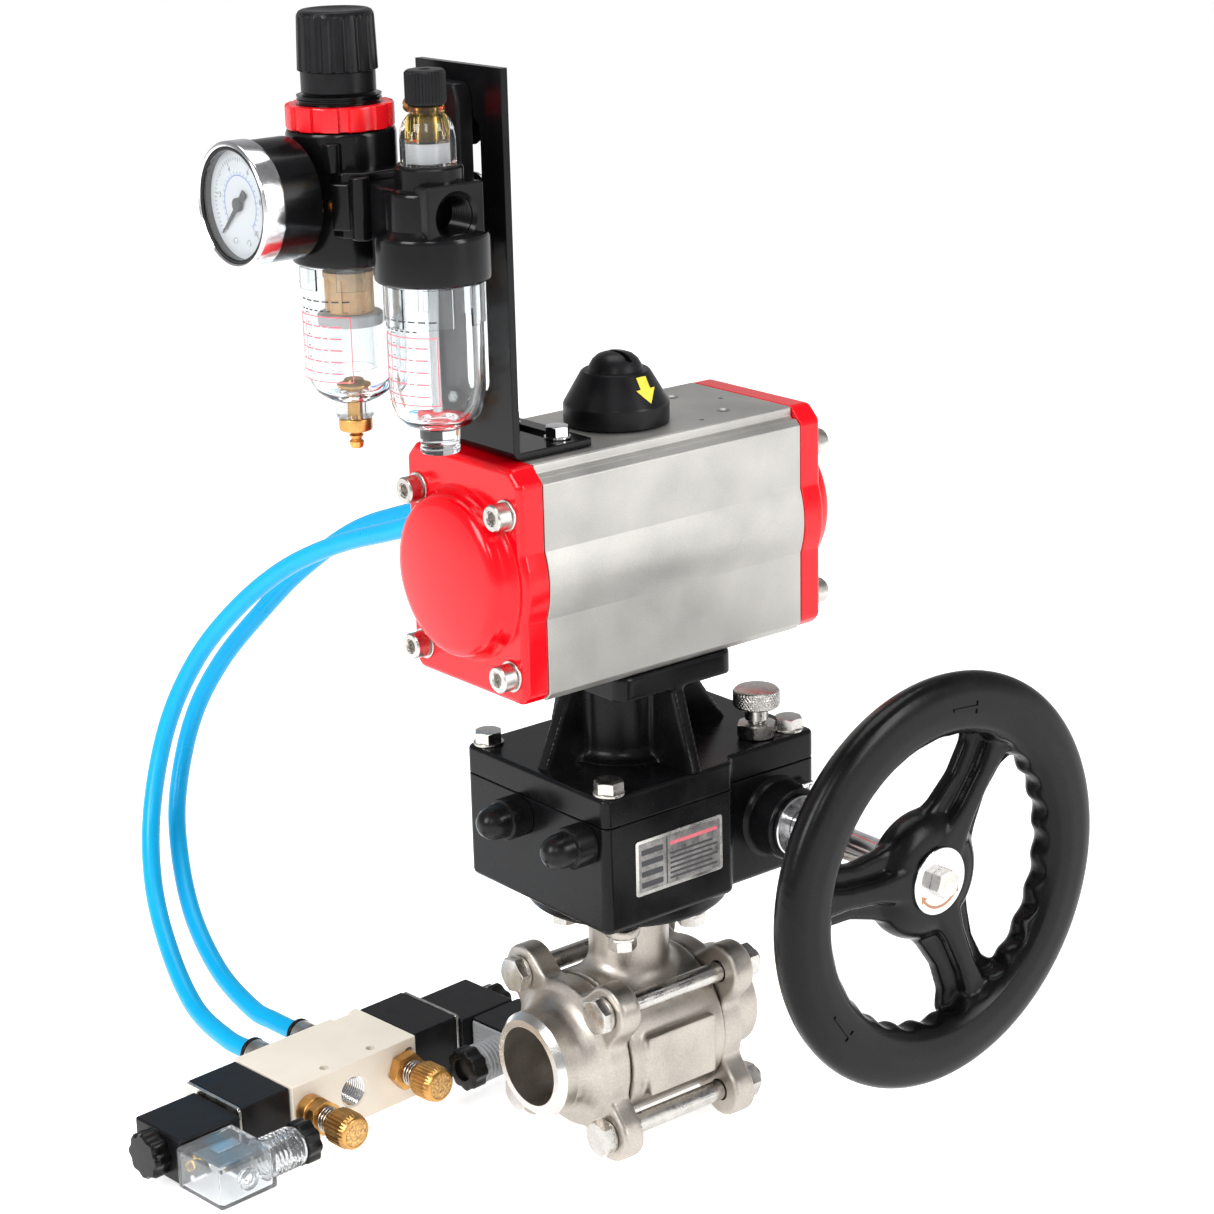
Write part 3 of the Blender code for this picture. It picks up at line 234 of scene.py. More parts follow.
# look: (material, slot of the record)
LOOKS = {
    "cast": (make_look("cast_stainless", (0.47, 0.43, 0.385), 0.42, 1.0, 1500, 0.05, 0.22, 60, 0.1),
             "stainless_cast"),
    "machined": (make_look("machined_stainless", (0.66, 0.64, 0.61), 0.24, 1.0, 2500, 0.01, 0.1),
                 "stainless_cast"),
    "bolt": (make_look("bolt_stainless", (0.55, 0.53, 0.5), 0.27, 1.0, 1200, 0.02, 0.2, 150),
             "stainless_bolt"),
    "zinc": (make_look("bright_zinc", (0.74, 0.74, 0.75), 0.15, 1.0, 1500, 0.006, 0.1, 200, 0.05),
             "zinc"),
    "satin_black": (make_look("satin_black_paint", (0.004, 0.004, 0.0045), 0.26, 0.0, 700, 0.02,
                              0.3, 70, 0.06, sockets={"Specular IOR Level": 0.16}), "black_paint"),
    "gloss_black": (make_look("gloss_black_paint", (0.004, 0.004, 0.0045), 0.18, 0.0, 500, 0.01,
                              0.3, 50, 0.05, sockets={"Specular IOR Level": 0.22}), "black_paint"),
    "plastic": (make_look("black_plastic", (0.006, 0.006, 0.007), 0.36, 0.0, 2200, 0.02, 0.3, 120,
                          sockets=DULL), "black_plastic"),
    "rubber": (make_look("black_rubber", (0.006, 0.006, 0.006), 0.3, 0.0, 1500, 0.015, 0.3, 150,
                         sockets=DULL), "rubber_black"),
    "red": (make_look("gloss_red_paint", (0.72, 0.0, 0.006), 0.17, 0.0, 350, 0.012, 0.05, 40,
                      0.04, sockets={"Specular IOR Level": 0.35}), "gloss_red"),
    "red_nut": (make_look("red_nylon", (0.78, 0.006, 0.012), 0.26, 0.0, 700, 0.01, 0.06),
                "red_plastic"),
    "blasted": (make_look("blasted_aluminium", (0.44, 0.43, 0.405), 0.42, 0.85, 2600, 0.06, 0.16,
                          40, 0.04), "anodised"),
    "smoke_metal": (make_look("grey_plate_metal", (0.30, 0.29, 0.28), 0.35, 0.9, 1500, 0.03, 0.4,
                              250), "anodised"),
    "aluminium": (make_look("machined_aluminium", (0.66, 0.65, 0.63), 0.3, 1.0), "anodised"),
    "cream": (make_look("cream_paint", (0.80, 0.735, 0.625), 0.36, 0.0, 1800, 0.02, 0.04, 60),
              "cream"),
    "brass": (make_look("brass", (0.60, 0.33, 0.105), 0.36, 1.0, 1500, 0.03, 0.2, 200), "brass"),
    "sinter": (make_look("sintered_bronze", (0.90, 0.36, 0.12), 0.5, 0.35, 1100, 0.5, 0.75, 900,
                         cells=True), "brass"),
    "clear": (make_look("clear_plastic", (0.93, 0.95, 0.955), 0.05, 0.0, 300, 0.0, 0.01, 60, 0.03,
                        sockets=CLEAR_SOCKETS), "clear"),
    "amber": (make_look("amber_plastic", (1.0, 0.66, 0.16), 0.12, 0.0, 300, 0.0, 0.04, 60, 0.03,
                        sockets=CLEAR_SOCKETS), "clear"),
    "frosted": (make_look("frosted_plastic", (0.92, 0.94, 0.95), 0.08, 0.0, 600, 0.01, 0.03, 90,
                          0.03, sockets={"Transmission Weight": 0.95, "IOR": 1.35}), "clear"),
    "smoke": (make_look("smoky_plastic", (0.42, 0.43, 0.44), 0.3, 0.0, 900, 0.02, 0.05, 90,
                        sockets={"Transmission Weight": 0.35}), "clear"),
    "baffle": (make_look("white_baffle", (0.86, 0.87, 0.88), 0.4, 0.0, 900, 0.01, 0.02, 90,
                         sockets={"Transmission Weight": 0.4}), "clear"),
    "filter": (make_look("filter_bronze", (0.88, 0.57, 0.29), 0.6, 0.0, 1800, 0.25, 0.14, 300,
                         cells=True), "tan_filter"),
    "tube": (make_look("blue_tube", (0.0, 0.37, 0.69), 0.3, 0.0, 400, 0.01, 0.05, 30, 0.05,
                       sockets={"Specular IOR Level": 0.3}), "blue_tube"),
    "seat": (make_look("seat_plastic", (0.80, 0.80, 0.78), 0.35), "ptfe"),
    "dial": (make_look("dial_white", (0.84, 0.86, 0.89), 0.4, 0.0, 900, 0.0, 0.01), "ptfe"),
    "print_black": (make_look("black_ink", (0.05, 0.05, 0.055), 0.5, 0.0, 900, 0.0),
                    "rubber_black"),
    "print_blue": (make_look("blue_ink", (0.05, 0.22, 0.62), 0.5, 0.0, 900, 0.0), "blue_tube"),
    "print_red": (make_look("red_ink", (0.78, 0.16, 0.20), 0.5, 0.0, 900, 0.0), "red_plastic"),
    "yellow": (make_look("yellow_paint", (0.90, 0.68, 0.06), 0.4, 0.0, 900, 0.01), "brass"),
    "bronze_print": (make_look("bronze_ink", (0.42, 0.20, 0.10), 0.45, 0.3, 900, 0.0), "brass"),
    "board": (make_look("circuit_board", (0.13, 0.17, 0.20), 0.5, 0.0, 900, 0.02, 0.3),
              "black_plastic"),
}
for tube in tubes:
    tube.data.materials.append(LOOKS["tube"][0])

# what each CAD node that stays in view or inside is made of
INSIDE = {"front_seat": "seat", "rear_seat": "seat", "valve_ball": "machined", "valve_stem": "bolt",
          "worm_wheel": "bolt", "pinion_shaft": "bolt", "front_piston": "aluminium",
          "rear_piston": "aluminium", "solenoid_spool": "aluminium"}
for node, look in INSIDE.items():
    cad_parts[node].data.materials.clear()
    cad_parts[node].data.materials.append(LOOKS[look][0])


# ---------------------------------------------------------------- modelling helpers

def along(axis, a, b, h):
    """A point with height h along the axis and (a, b) across it."""
    if axis == "X":
        return (h, a, b)
    if axis == "Y":
        return (a, h, b)
    return (a, b, h)


def store(bm):
    bmesh.ops.remove_doubles(bm, verts=bm.verts, dist=0.002)
    bmesh.ops.recalc_face_normals(bm, faces=bm.faces)
    if bm.calc_volume(signed=True) < 0:
        bmesh.ops.reverse_faces(bm, faces=bm.faces)
    mesh = bpy.data.meshes.new("piece")
    bm.to_mesh(mesh)
    bm.free()
    return add_object("piece", mesh)


def skin(rows):
    """Join rings of points, each to the next, and close both ends."""
    bm = bmesh.new()
    rings = [[bm.verts.new(point) for point in row] for row in rows]
    count = len(rings[0])
    for lower, upper in zip(rings, rings[1:]):
        for i in range(count):
            j = (i + 1) % count
            bm.faces.new((lower[i], lower[j], upper[j], upper[i]))
    bm.faces.new(rings[0])
    bm.faces.new(rings[-1])
    return store(bm)


def rounded(points, radius, steps=3, closed=True):
    """Round the corners of an outline, or of an open profile between its ends."""
    result = []
    count = len(points)
    for i in range(count):
        if not closed and i in (0, count - 1):
            result.append(tuple(points[i]))
            continue
        corner = Vector(points[i])
        before = Vector(points[i - 1]) - corner
        after = Vector(points[(i + 1) % count]) - corner
        half = before.angle(after) / 2
        if half > math.radians(88):
            result.append(tuple(points[i]))
            continue
        reach = min(radius / math.tan(half), before.length * 0.48, after.length * 0.48)
        before.normalize()
        after.normalize()
        centre = corner + (before + after).normalized() * reach / math.cos(half)
        start = corner + before * reach - centre
        swing = start.angle_signed(corner + after * reach - centre)
        for k in range(steps + 1):
            point = centre + Matrix.Rotation(-swing * k / steps, 2) @ start
            result.append((point.x, point.y))
    return result


def inset(outline, width):
    """Move every side of an outline inwards."""
    count = len(outline)
    area = sum(outline[i - 1][0] * outline[i][1] - outline[i][0] * outline[i - 1][1]
               for i in range(count))
    side = 1 if area > 0 else -1
    result = []
    for i in range(count):
        point = Vector(outline[i])
        before = (point - Vector(outline[i - 1])).normalized()
        after = (Vector(outline[(i + 1) % count]) - point).normalized()
        mean = before + after
        normal = Vector((-mean.y, mean.x)).normalized() * side
        across = Vector((-before.y, before.x)) * side
        shift = normal * width / max(0.4, normal.dot(across))
        result.append((point.x + shift.x, point.y + shift.y))
    return result


def prism(outline, axis, low, high, edges=(0.0, 0.0), steps=3):
    """Extrude an outline along an axis; edges rounds the rims at the low and the high end."""
    levels = []
    for end, sign, edge in ((low, 1, edges[0]), (high, -1, edges[1])):
        rim = [(end, 0.0)]
        if edge:
            turns = [math.pi / 2 * k / steps for k in range(steps + 1)]
            rim = [(end + sign * edge * (1 - math.cos(t)), edge * (1 - math.sin(t))) for t in turns]
        levels += rim if sign == 1 else rim[::-1]
    rows = []
    for height, width in levels:
        rim = inset(outline, width) if width > 1e-6 else outline
        rows.append([along(axis, a, b, height) for a, b in rim])
    return skin(rows)


def rectangle(low, high, radius=0.0):
    points = [(low[0], low[1]), (high[0], low[1]), (high[0], high[1]), (low[0], high[1])]
    return rounded(points, radius) if radius else points


def block(low, high, radius=0.8, axis="Z"):
    """A box with rounded edges."""
    order = {"X": (1, 2, 0), "Y": (0, 2, 1), "Z": (0, 1, 2)}[axis]
    a, b, h = order
    outline = rectangle((low[a], low[b]), (high[a], high[b]), radius)
    return prism(outline, axis, low[h], high[h], (radius * 0.85, radius * 0.85))


def corner_places(a, b):
    """The four corners of a rectangle about the origin."""
    return [(x, y) for x in (-a, a) for y in (-b, b)]


def mirrored(profile, side):
    """The profile's heights along an axis, on the positive (1) or the negative (-1) side."""
    return [(radius, side * height) for radius, height in profile]


def turned(profile, axis, centre, sides=64, shape=None):
    """Turn (radius, height) points about an axis; shape(radius, height, angle) may change one."""
    bm = bmesh.new()
    solid = profile[0][0] == 0 and profile[-1][0] == 0
    rows = []
    for radius, height in profile:
        if radius == 0:
            rows.append([bm.verts.new(along(axis, centre[0], centre[1], height))] * sides)
            continue
        row = []
        for k in range(sides):
            angle = 2 * math.pi * (k + 0.5) / sides
            reach = shape(radius, height, angle) if shape else radius
            a = centre[0] + reach * math.cos(angle)
            b = centre[1] + reach * math.sin(angle)
            row.append(bm.verts.new(along(axis, a, b, height)))
        rows.append(row)
    pairs = list(zip(rows, rows[1:]))
    if not solid:
        pairs.append((rows[-1], rows[0]))
    for low, high in pairs:
        for k in range(sides):
            n = (k + 1) % sides
            corners = []
            for vert in (low[k], low[n], high[n], high[k]):
                if vert not in corners:
                    corners.append(vert)
            bm.faces.new(corners)
    return store(bm)


def rod(radius, low, high, axis, centre, sides=48, edge=0.0):
    profile = [(0, low), (radius, low), (radius, high), (0, high)]
    if edge:
        profile = rounded(profile, edge, 3, closed=False)
    return turned(profile, axis, centre, sides)


def ring(inner, outer, low, high, axis, centre, sides=64, edge=0.0):
    profile = [(inner, low), (outer, low), (outer, high), (inner, high)]
    if edge:
        profile = rounded(profile, edge)
    return turned(profile, axis, centre, sides)


def stadium(half_length, radius, turn, centre=(0, 0), steps=10):
    """A straight slot shape, turned by an angle in degrees."""
    points = []
    for side in (0, 1):
        for k in range(steps + 1):
            angle = math.pi * (side + k / steps) - math.pi / 2
            x = radius * math.cos(angle) + (half_length if side == 0 else -half_length)
            points.append((x, radius * math.sin(angle)))
    c, s = math.cos(math.radians(turn)), math.sin(math.radians(turn))
    return [(x * c - y * s + centre[0], x * s + y * c + centre[1]) for x, y in points]


def hexagon(across_flats, centre=(0, 0), sides=6, turn=0.0):
    radius = across_flats / 2 / math.cos(math.pi / sides)
    angles = [2 * math.pi * k / sides + math.radians(turn) for k in range(sides)]
    return [(centre[0] + radius * math.cos(t), centre[1] + radius * math.sin(t)) for t in angles]


def evaluated_mesh(obj):
    bpy.context.view_layer.update()
    graph = bpy.context.evaluated_depsgraph_get()
    return bpy.data.meshes.new_from_object(obj.evaluated_get(graph))


def bake(obj):
    """Replace an object's mesh by its evaluated one."""
    mesh = evaluated_mesh(obj)
    obj.modifiers.clear()
    obj.data = mesh
    return obj


def from_curve(curve):
    """The surface of a curve or a text, as a piece."""
    source = add_object("source", curve)
    mesh = evaluated_mesh(source)
    bpy.data.objects.remove(source)
    return add_object("piece", mesh)


def combine(base, tools, operation):
    for tool in tools:
        modifier = base.modifiers.new("combine", "BOOLEAN")
        modifier.operation = operation
        modifier.object = tool
        bake(base)
        bpy.data.objects.remove(tool)
    return base


def join(base, *tools):
    return combine(base, tools, "UNION")


def cut(base, *tools):
    return combine(base, tools, "DIFFERENCE")


def gather(base, *others):
    """Keep several closed bodies in one piece without uniting them."""
    bm = bmesh.new()
    for obj in (base, *others):
        bm.from_mesh(obj.data)
    bm.to_mesh(base.data)
    bm.free()
    for obj in others:
        bpy.data.objects.remove(obj)
    return base


def moved(obj, matrix):
    obj.data.transform(matrix)
    return obj


def melted(obj, voxel, rounds):
    """Remesh and relax a piece, as a casting's edges and corners are soft."""
    remesh = obj.modifiers.new("voxels", "REMESH")
    remesh.mode = "VOXEL"
    remesh.voxel_size = voxel
    relax = obj.modifiers.new("relax", "SMOOTH")
    relax.factor = 0.5
    relax.iterations = rounds
    return bake(obj)


def nut(across_flats, axis, centre, low, high, turn=0.0, both=True):
    """A hexagon whose corners are turned down at its high end, and at its low end too."""
    corner = across_flats / math.sqrt(3)
    flat = across_flats / 2 * 0.97
    drop = math.copysign((corner - flat) * 0.55, high - low)
    start = [(0, low), (flat, low), (corner + 0.05, low + drop)] if both else [
        (0, low), (corner + 0.05, low)]
    profile = start + [(corner + 0.05, high - drop), (flat, high), (0, high)]
    hexed = prism(hexagon(across_flats, centre, turn=turn), axis, *sorted((low, high)))
    return combine(hexed, [turned(profile, axis, centre, 48)], "INTERSECT")


def wire(points, radius, sides=3):
    """A round wire through points, as a closed mesh."""
    curve = bpy.data.curves.new("wire", "CURVE")
    curve.dimensions = "3D"
    curve.bevel_depth = radius
    curve.bevel_resolution = sides
    curve.use_fill_caps = True
    spline = curve.splines.new("POLY")
    spline.points.add(len(points) - 1)
    for target, point in zip(spline.points, points):
        target.co = (*point, 1.0)
    return from_curve(curve)


def spring(radius, wire_radius, low, high, turns, axis, centre):
    count = int(turns * 20)
    points = []
    for k in range(count + 1):
        angle = 2 * math.pi * turns * k / count
        a = centre[0] + radius * math.cos(angle)
        b = centre[1] + radius * math.sin(angle)
        points.append(along(axis, a, b, low + (high - low) * k / count))
    return wire(points, wire_radius)


def show(obj, name, look, nodes=(), body="base", place=STEM_FRAME, angle=38, painted=()):
    """Put a finished piece in the frame with its look; painted adds (look, test) for some faces."""
    mesh = obj.data
    if not mesh.polygons:
        raise ValueError(f"{name} has no surface")
    mesh.materials.clear()
    mesh.materials.append(LOOKS[look][0])
    for face in mesh.polygons:
        face.material_index = 0
    for index, (other, test) in enumerate(painted, 1):
        mesh.materials.append(LOOKS[other][0])
        for face in mesh.polygons:
            if test(face.center, face.normal):
                face.material_index = index
    mesh.transform(place)
    mesh.shade_smooth()
    mesh.set_sharp_from_angle(angle=math.radians(angle))
    weighted = obj.modifiers.new("normals", "WEIGHTED_NORMAL")
    weighted.keep_sharp = True
    obj.name = name
    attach(obj, body)
    if nodes:
        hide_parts(*nodes)
    return obj


# ---------------------------------------------------------------- ball valve

def eared_outline(body_r, reach, ear_r, steps=160):
    """A round flange with four ears on its diagonals, blended softly into it."""
    points = []
    for k in range(steps):
        angle = 2 * math.pi * k / steps
        off = abs((angle % (math.pi / 2)) - math.pi / 4)
        if off < math.atan2(ear_r, reach):
            ear = reach * math.cos(off) + math.sqrt(ear_r ** 2 - (reach * math.sin(off)) ** 2)
        else:
            ear = ear_r / math.sin(off)
        radius = (ear ** 14 + body_r ** 14) ** (1 / 14)
        points.append((radius * math.cos(angle), PIPE_Z + radius * math.sin(angle)))
    return points


def end_cap(side, word):
    low, high = sorted((side * FLANGE_IN, side * FLANGE_OUT))
    cap = prism(eared_outline(30.0, TIE * math.sqrt(2), EAR_R), "Y", low, high, (1.4, 1.4))
    flare = [(0, 25.0), (29.0, 33.0), (28.2, 34.4), (25.6, 35.4), (23.4, 37.6), (21.9, 40.6),
             (21.3, 44.0), (20.6, 46.0), (0, 46.0)]
    join(cap, turned(mirrored(flare, side), "Y", (0, PIPE_Z), 96))
    melted(cap, 0.75, 4)
    stub = [(0, 38.0), (PIPE_R, 38.0), (PIPE_R, 49.2), (18.9, PIPE_END), (0, PIPE_END)]
    join(cap, turned(mirrored(stub, side), "Y", (0, PIPE_Z), 96))
    cut(cap, rod(BORE_R, side * 20.0, side * 60.0, "Y", (0, PIPE_Z), 96))
    for x, z in corner_places(TIE, TIE):
        cut(cap, rod(4.6, low - 1, high + 1, "Y", (x, PIPE_Z + z), 32))
    show(cap, f"{word}_cap_casting", "cast", [f"{word}_end_cap"], angle=30,
         painted=[("machined", lambda c, n: abs(c.y) > 49.3)])


def tie_bolt(number, x, z):
    centre = (x, PIPE_Z + z)
    face = FLANGE_OUT + 0.3
    bolt = rod(4.0, -face - 1, face + 9.5, "Y", centre, 32, edge=0.7)
    join(bolt, nut(13, "Y", centre, -face - 1.0, -face - 5.3, turn=12 * number, both=False))
    join(bolt, nut(13, "Y", centre, face + 1.2, face + 6.5, turn=17 * number))
    join(bolt, rod(6.9, -face - 1.2, -face, "Y", centre, 48, edge=0.2))
    join(bolt, rod(6.9, face, face + 1.4, "Y", centre, 48, edge=0.2))
    show(bolt, f"tie_bolt_{number}_bright", "bolt", [f"tie_bolt_{number}"], angle=30)


def neck_fillet(radius, fillet, body_r, low):
    """The neck with its foot flowing into the round body."""
    sides, steps = 72, 8
    angles = [2 * math.pi * k / sides for k in range(sides)]

    def level(reach, height):
        return [(reach * math.cos(angle), reach * math.sin(angle), height) for angle in angles]

    rows = [level(radius, PAD_LOW + 3)]
    for index in range(steps + 1):
        t = math.pi / 2 * index / steps
        reach = radius + fillet * (1 - math.cos(t))
        lift = fillet * (1 - math.sin(t))
        rows.append([(x, y, PIPE_Z + math.sqrt(body_r ** 2 - x * x) + lift - 0.3)
                     for x, y, _ in level(reach, 0)])
    rows.append(level(radius - 4, low))
    return skin(rows)


def valve_body():
    half = FLANGE_IN - 0.3
    body = rod(BODY_R, -half, half, "Y", (0, PIPE_Z), 96, edge=1.0)
    join(body, neck_fillet(16.0, 6.0, BODY_R, PIPE_Z + 12))
    for turn in (45, -45):
        join(body, prism(stadium(PAD_BOLT * math.sqrt(2), 7.0, turn), "Z", PAD_LOW, 92.6,
                         (0.8, 0.8)))
    join(body, rod(19.0, PAD_LOW, PAD_TOP, "Z", (0, 0), 72, edge=0.6))
    panel = rectangle((-17, PIPE_Z - 13), (17, PIPE_Z + 12), 1.0)
    join(body, prism(panel, "X", 24.0, 32.5, (0.0, 0.6)))
    melted(body, 0.75, 4)
    cut(body, rod(26.2, -half - 1, half + 1, "Y", (0, PIPE_Z), 72))
    cut(body, rod(6.5, PIPE_Z + 15, PAD_TOP + 1, "Z", (0, 0), 32))
    cut(body, rod(8.5, PIPE_Z + 15, PIPE_Z + 27.2, "Z", (0, 0), 32))
    show(body, "body_casting", "cast", ["valve_body"], angle=30)
    studs, washers = [], []
    for place in corner_places(PAD_BOLT, PAD_BOLT):
        studs += [nut(10, "Z", place, PAD_LOW - 1.3, PAD_LOW - 5.5, turn=sum(place), both=False),
                  rod(6.3, 93.9, PAD_TOP + 0.2, "Z", place, 40, edge=0.3),
                  rod(5.6, PAD_LOW - 1.3, PAD_LOW - 0.05, "Z", place, 40, edge=0.2)]
        washers.append(rod(6.5, 92.7, 93.8, "Z", place, 40, edge=0.3))
    show(gather(*studs), "pad_bolts", "bolt")
    show(gather(*washers), "pad_washers", "rubber")


# ---------------------------------------------------------------- gearbox

def box_outline(radius=3.5):
    right = [(BOX_FACE, -45), (BOX_FACE, 18), (38, 20.5), (38, 66)]
    outline = [(-BOX_FACE, -45)] + right + [(-x, y) for x, y in right[:0:-1]]
    return rounded(outline, radius, 4)


def gearbox():
    housing = prism(box_outline(), "Z", 103.5, BOX_TOP, (2.6, 0.5))
    join(housing, rod(40.0, PAD_TOP + 0.3, 106.0, "Z", (0, 0), 120, edge=2.2))
    boss = [(0, 30), (16.5, 30), (16.5, 38.2), (14.9, 39.6), (14.5, 41.5), (14.5, 50.2),
            (13.9, 51.0), (0, 51.0)]
    join(housing, turned(boss, "X", SLEEVE, 72))
    cut(housing, rod(36.0, 111.0, BOX_TOP + 1, "Z", (0, 0), 72))
    cut(housing, block((-34, 30, 114), (24, 56.5, BOX_TOP + 1), 0.5))
    cut(housing, rod(11.5, 20.0, 52.0, "X", SLEEVE, 48))
    cut(housing, rod(7.0, PAD_TOP - 1, 112.0, "Z", (0, 0), 32))
    show(housing, "housing_casting", "satin_black", ["gearbox_housing"])

    cover = prism(box_outline(), "Z", BOX_TOP + 0.3, COVER_TOP, (0.5, 1.6))
    cut(cover, rod(10.5, BOX_TOP - 1, COVER_TOP + 1, "Z", (0, 0), 64))
    cut(cover, rod(3.4, BOX_TOP - 1, COVER_TOP + 1, "Z", LOCK, 32))
    show(cover, "cover_plate", "satin_black", ["gearbox_cover"])

    neck = rod(20.0, COVER_TOP - 3, 195.0, "Z", (0, 0), 96)
    for k, (foot, top) in enumerate(((43.0, 33.5), (50.0, 28.0), (43.0, 33.5), (41.0, 28.0))):
        outline = [(10, COVER_TOP - 3), (foot, COVER_TOP - 3), (foot, COVER_TOP), (top - 1, 191.0),
                   (10, 191.0)]
        rib = prism(outline, "Y", -2.7, 2.7)
        join(neck, moved(rib, Matrix.Rotation(math.radians(90 * k), 4, "Z")))
    flange = rounded(rectangle((-33.5, -28), (33.5, 28)), 5, 4)
    join(neck, prism(flange, "Z", 189.5, ACT_LOW - 0.3))
    join(neck, turned([(0, COVER_TOP - 3), (24.5, COVER_TOP - 3), (24.5, COVER_TOP + 0.2),
                       (21.6, COVER_TOP + 1.4), (20, COVER_TOP + 4), (0, COVER_TOP + 4)],
                      "Z", (0, 0), 96))
    melted(neck, 0.8, 4)
    cut(neck, rod(10.5, COVER_TOP - 6, ACT_LOW + 3, "Z", (0, 0), 64))
    cut(neck, block((-60, -60, COVER_TOP - 9), (60, 60, COVER_TOP - 0.02), 0.1))
    show(neck, "cover_neck", "satin_black", angle=30)

    bolts = []
    for place in ((-37.0, -38.0), (37.0, -38.0), (-31.0, 58.0), (31.0, 58.0)):
        bolts += [ring(1.0, 6.0, COVER_TOP, COVER_TOP + 1.0, "Z", place, 48, edge=0.2),
                  nut(10, "Z", place, COVER_TOP + 1.1, COVER_TOP + 5.5, turn=place[0], both=False)]
    show(gather(*bolts), "cover_bolts", "bolt", angle=30)

    for number, x in ((1, -8.5), (2, 31.0)):
        front = -45.3
        profile = [(0, front), (8.2, front), (8.2, front - 8.0), (7.9, front - 8.7),
                   (6.9, front - 9.0), (6.7, front - 10.5), (6.6, front - 13.0),
                   (5.9, front - 15.8), (4.4, front - 18.0), (2.4, front - 19.1), (0, front - 19.3)]
        show(turned(profile, "Y", (x, 138.5), 56), f"stop_cap_{number}_rubber", "rubber",
             [f"stop_cap_{number}"], angle=42)
    nameplate()


def nameplate():
    """A blank data plate: a bright border, dark fields and plain lines."""
    face, line_top = BOX_FACE, BOX_FACE + 0.72
    plate = prism(rectangle((-31, 116), (12, 138.4), 1.2), "X", face - 0.3, face + 0.5, (0, 0.2))
    show(plate, "data_plate", "machined")
    field = prism(rectangle((-29.6, 117.4), (10.6, 137.0), 0.5), "X", face, face + 0.6)
    show(field, "plate_field", "smoke_metal")
    outlines = [rectangle((-16.2, 118.0), (-15.7, 136.4))]
    outlines += [rectangle((-14.4, 119.2 + 2.0 * k), (9.2 - 2.5 * (k % 2), 119.2 + 2.0 * k + 0.8))
                 for k in range(6)]
    outlines += [rectangle((-28.4, 119.0 + 4.4 * k), (-18.0, 119.0 + 4.4 * k + 2.2), 0.4)
                 for k in range(4)]
    lines = [prism(outline, "X", face, line_top) for outline in outlines]
    show(gather(*lines), "plate_lines", "print_black")
    band = prism(rectangle((-14.4, 133.0), (9.2, 134.4), 0.3), "X", face, line_top)
    show(band, "plate_band", "print_red")


def worm_drive():
    sides, turns = 40, 2.5
    end = HUB_FRONT - 2
    stations = [(-30.0, 6.5, 0.0, 0.0), (-20.0, 6.5, 0.0, 0.0)]
    for i in range(31):
        stations.append((-19.0 + 38.0 * i / 30, 8.0, 1.3, 2 * math.pi * turns * i / 30))
    stations += [(20.0, 6.5, 0.0, 0.0), (112.0, 6.5, 0.0, 0.0), (112.0, 5.0, 0.0, 0.0),
                 (end, 5.0, 0.0, 0.0)]
    rows = []
    for x, radius, offset, turn in stations:
        row = []
        for k in range(sides):
            angle = 2 * math.pi * k / sides
            a = WORM_Y + offset * math.cos(turn) + radius * math.cos(angle)
            b = WORM_Z + offset * math.sin(turn) + radius * math.sin(angle)
            row.append((x, a, b))
        rows.append(row)
    show(skin(rows), "worm_and_shaft", "zinc", ["worm_shaft"], body="handwheel")

    profile = [(0, 25.0), (11.0, 25.0), (11.0, 51.3), (11.9, 51.3), (12.2, 51.6), (12.2, 52.9),
               (11.8, 53.3), (0, 53.3)]
    sleeve = turned(profile, "X", SLEEVE, 64)
    cut(sleeve, rod(6.8, 24.0, 55.0, "X", WORM, 40))
    show(sleeve, "sleeve_zinc", "zinc", ["eccentric_sleeve"], "sleeve")
    pin = rod(2.1, 36.0, 42.6, "X", (59.0, 136.0), 24, edge=0.8)
    tab = block((40.6, 55.2, 134.6), (42.2, 61.4, 138.6), 0.5)
    show(gather(pin, tab), "sleeve_stop_pin", "zinc")


def knurl(count, depth, low, high, slant=0.0):
    """A radius rule for straight or crossed knurling between two heights."""
    def rule(radius, height, angle):
        if not low <= height <= high:
            return radius
        wave = math.cos(count * angle + slant * height)
        if slant:
            wave = 0.5 * (wave + math.cos(count * angle - slant * height))
        return radius + depth * wave
    return rule


def lock_knob():
    hexed = nut(14, "Z", LOCK, COVER_TOP + 0.3, COVER_TOP + 5.8, turn=10)
    cut(hexed, rod(3.4, COVER_TOP - 1, COVER_TOP + 8, "Z", LOCK, 32))
    show(hexed, "knob_base_nut", "bolt", ["knob_nut"], angle=30)
    levels = [171.3 + 0.45 * k for k in range(13)]
    profile = ([(0, 148.0), (3.0, 148.0), (3.0, 164.6), (4.2, 165.0), (4.6, 165.4), (4.6, 170.2),
                (8.2, 170.4), (8.8, 170.9)] + [(9.0, z) for z in levels]
               + [(8.8, 177.2), (8.1, 177.8), (0, 177.8)])
    knob = turned(profile, "Z", LOCK, 240, knurl(40, 0.36, levels[0], levels[-1], slant=3.4))
    show(knob, "lock_knob_knurled", "bolt", ["lock_knob"], "lock_knob", angle=46)


# ---------------------------------------------------------------- handwheel

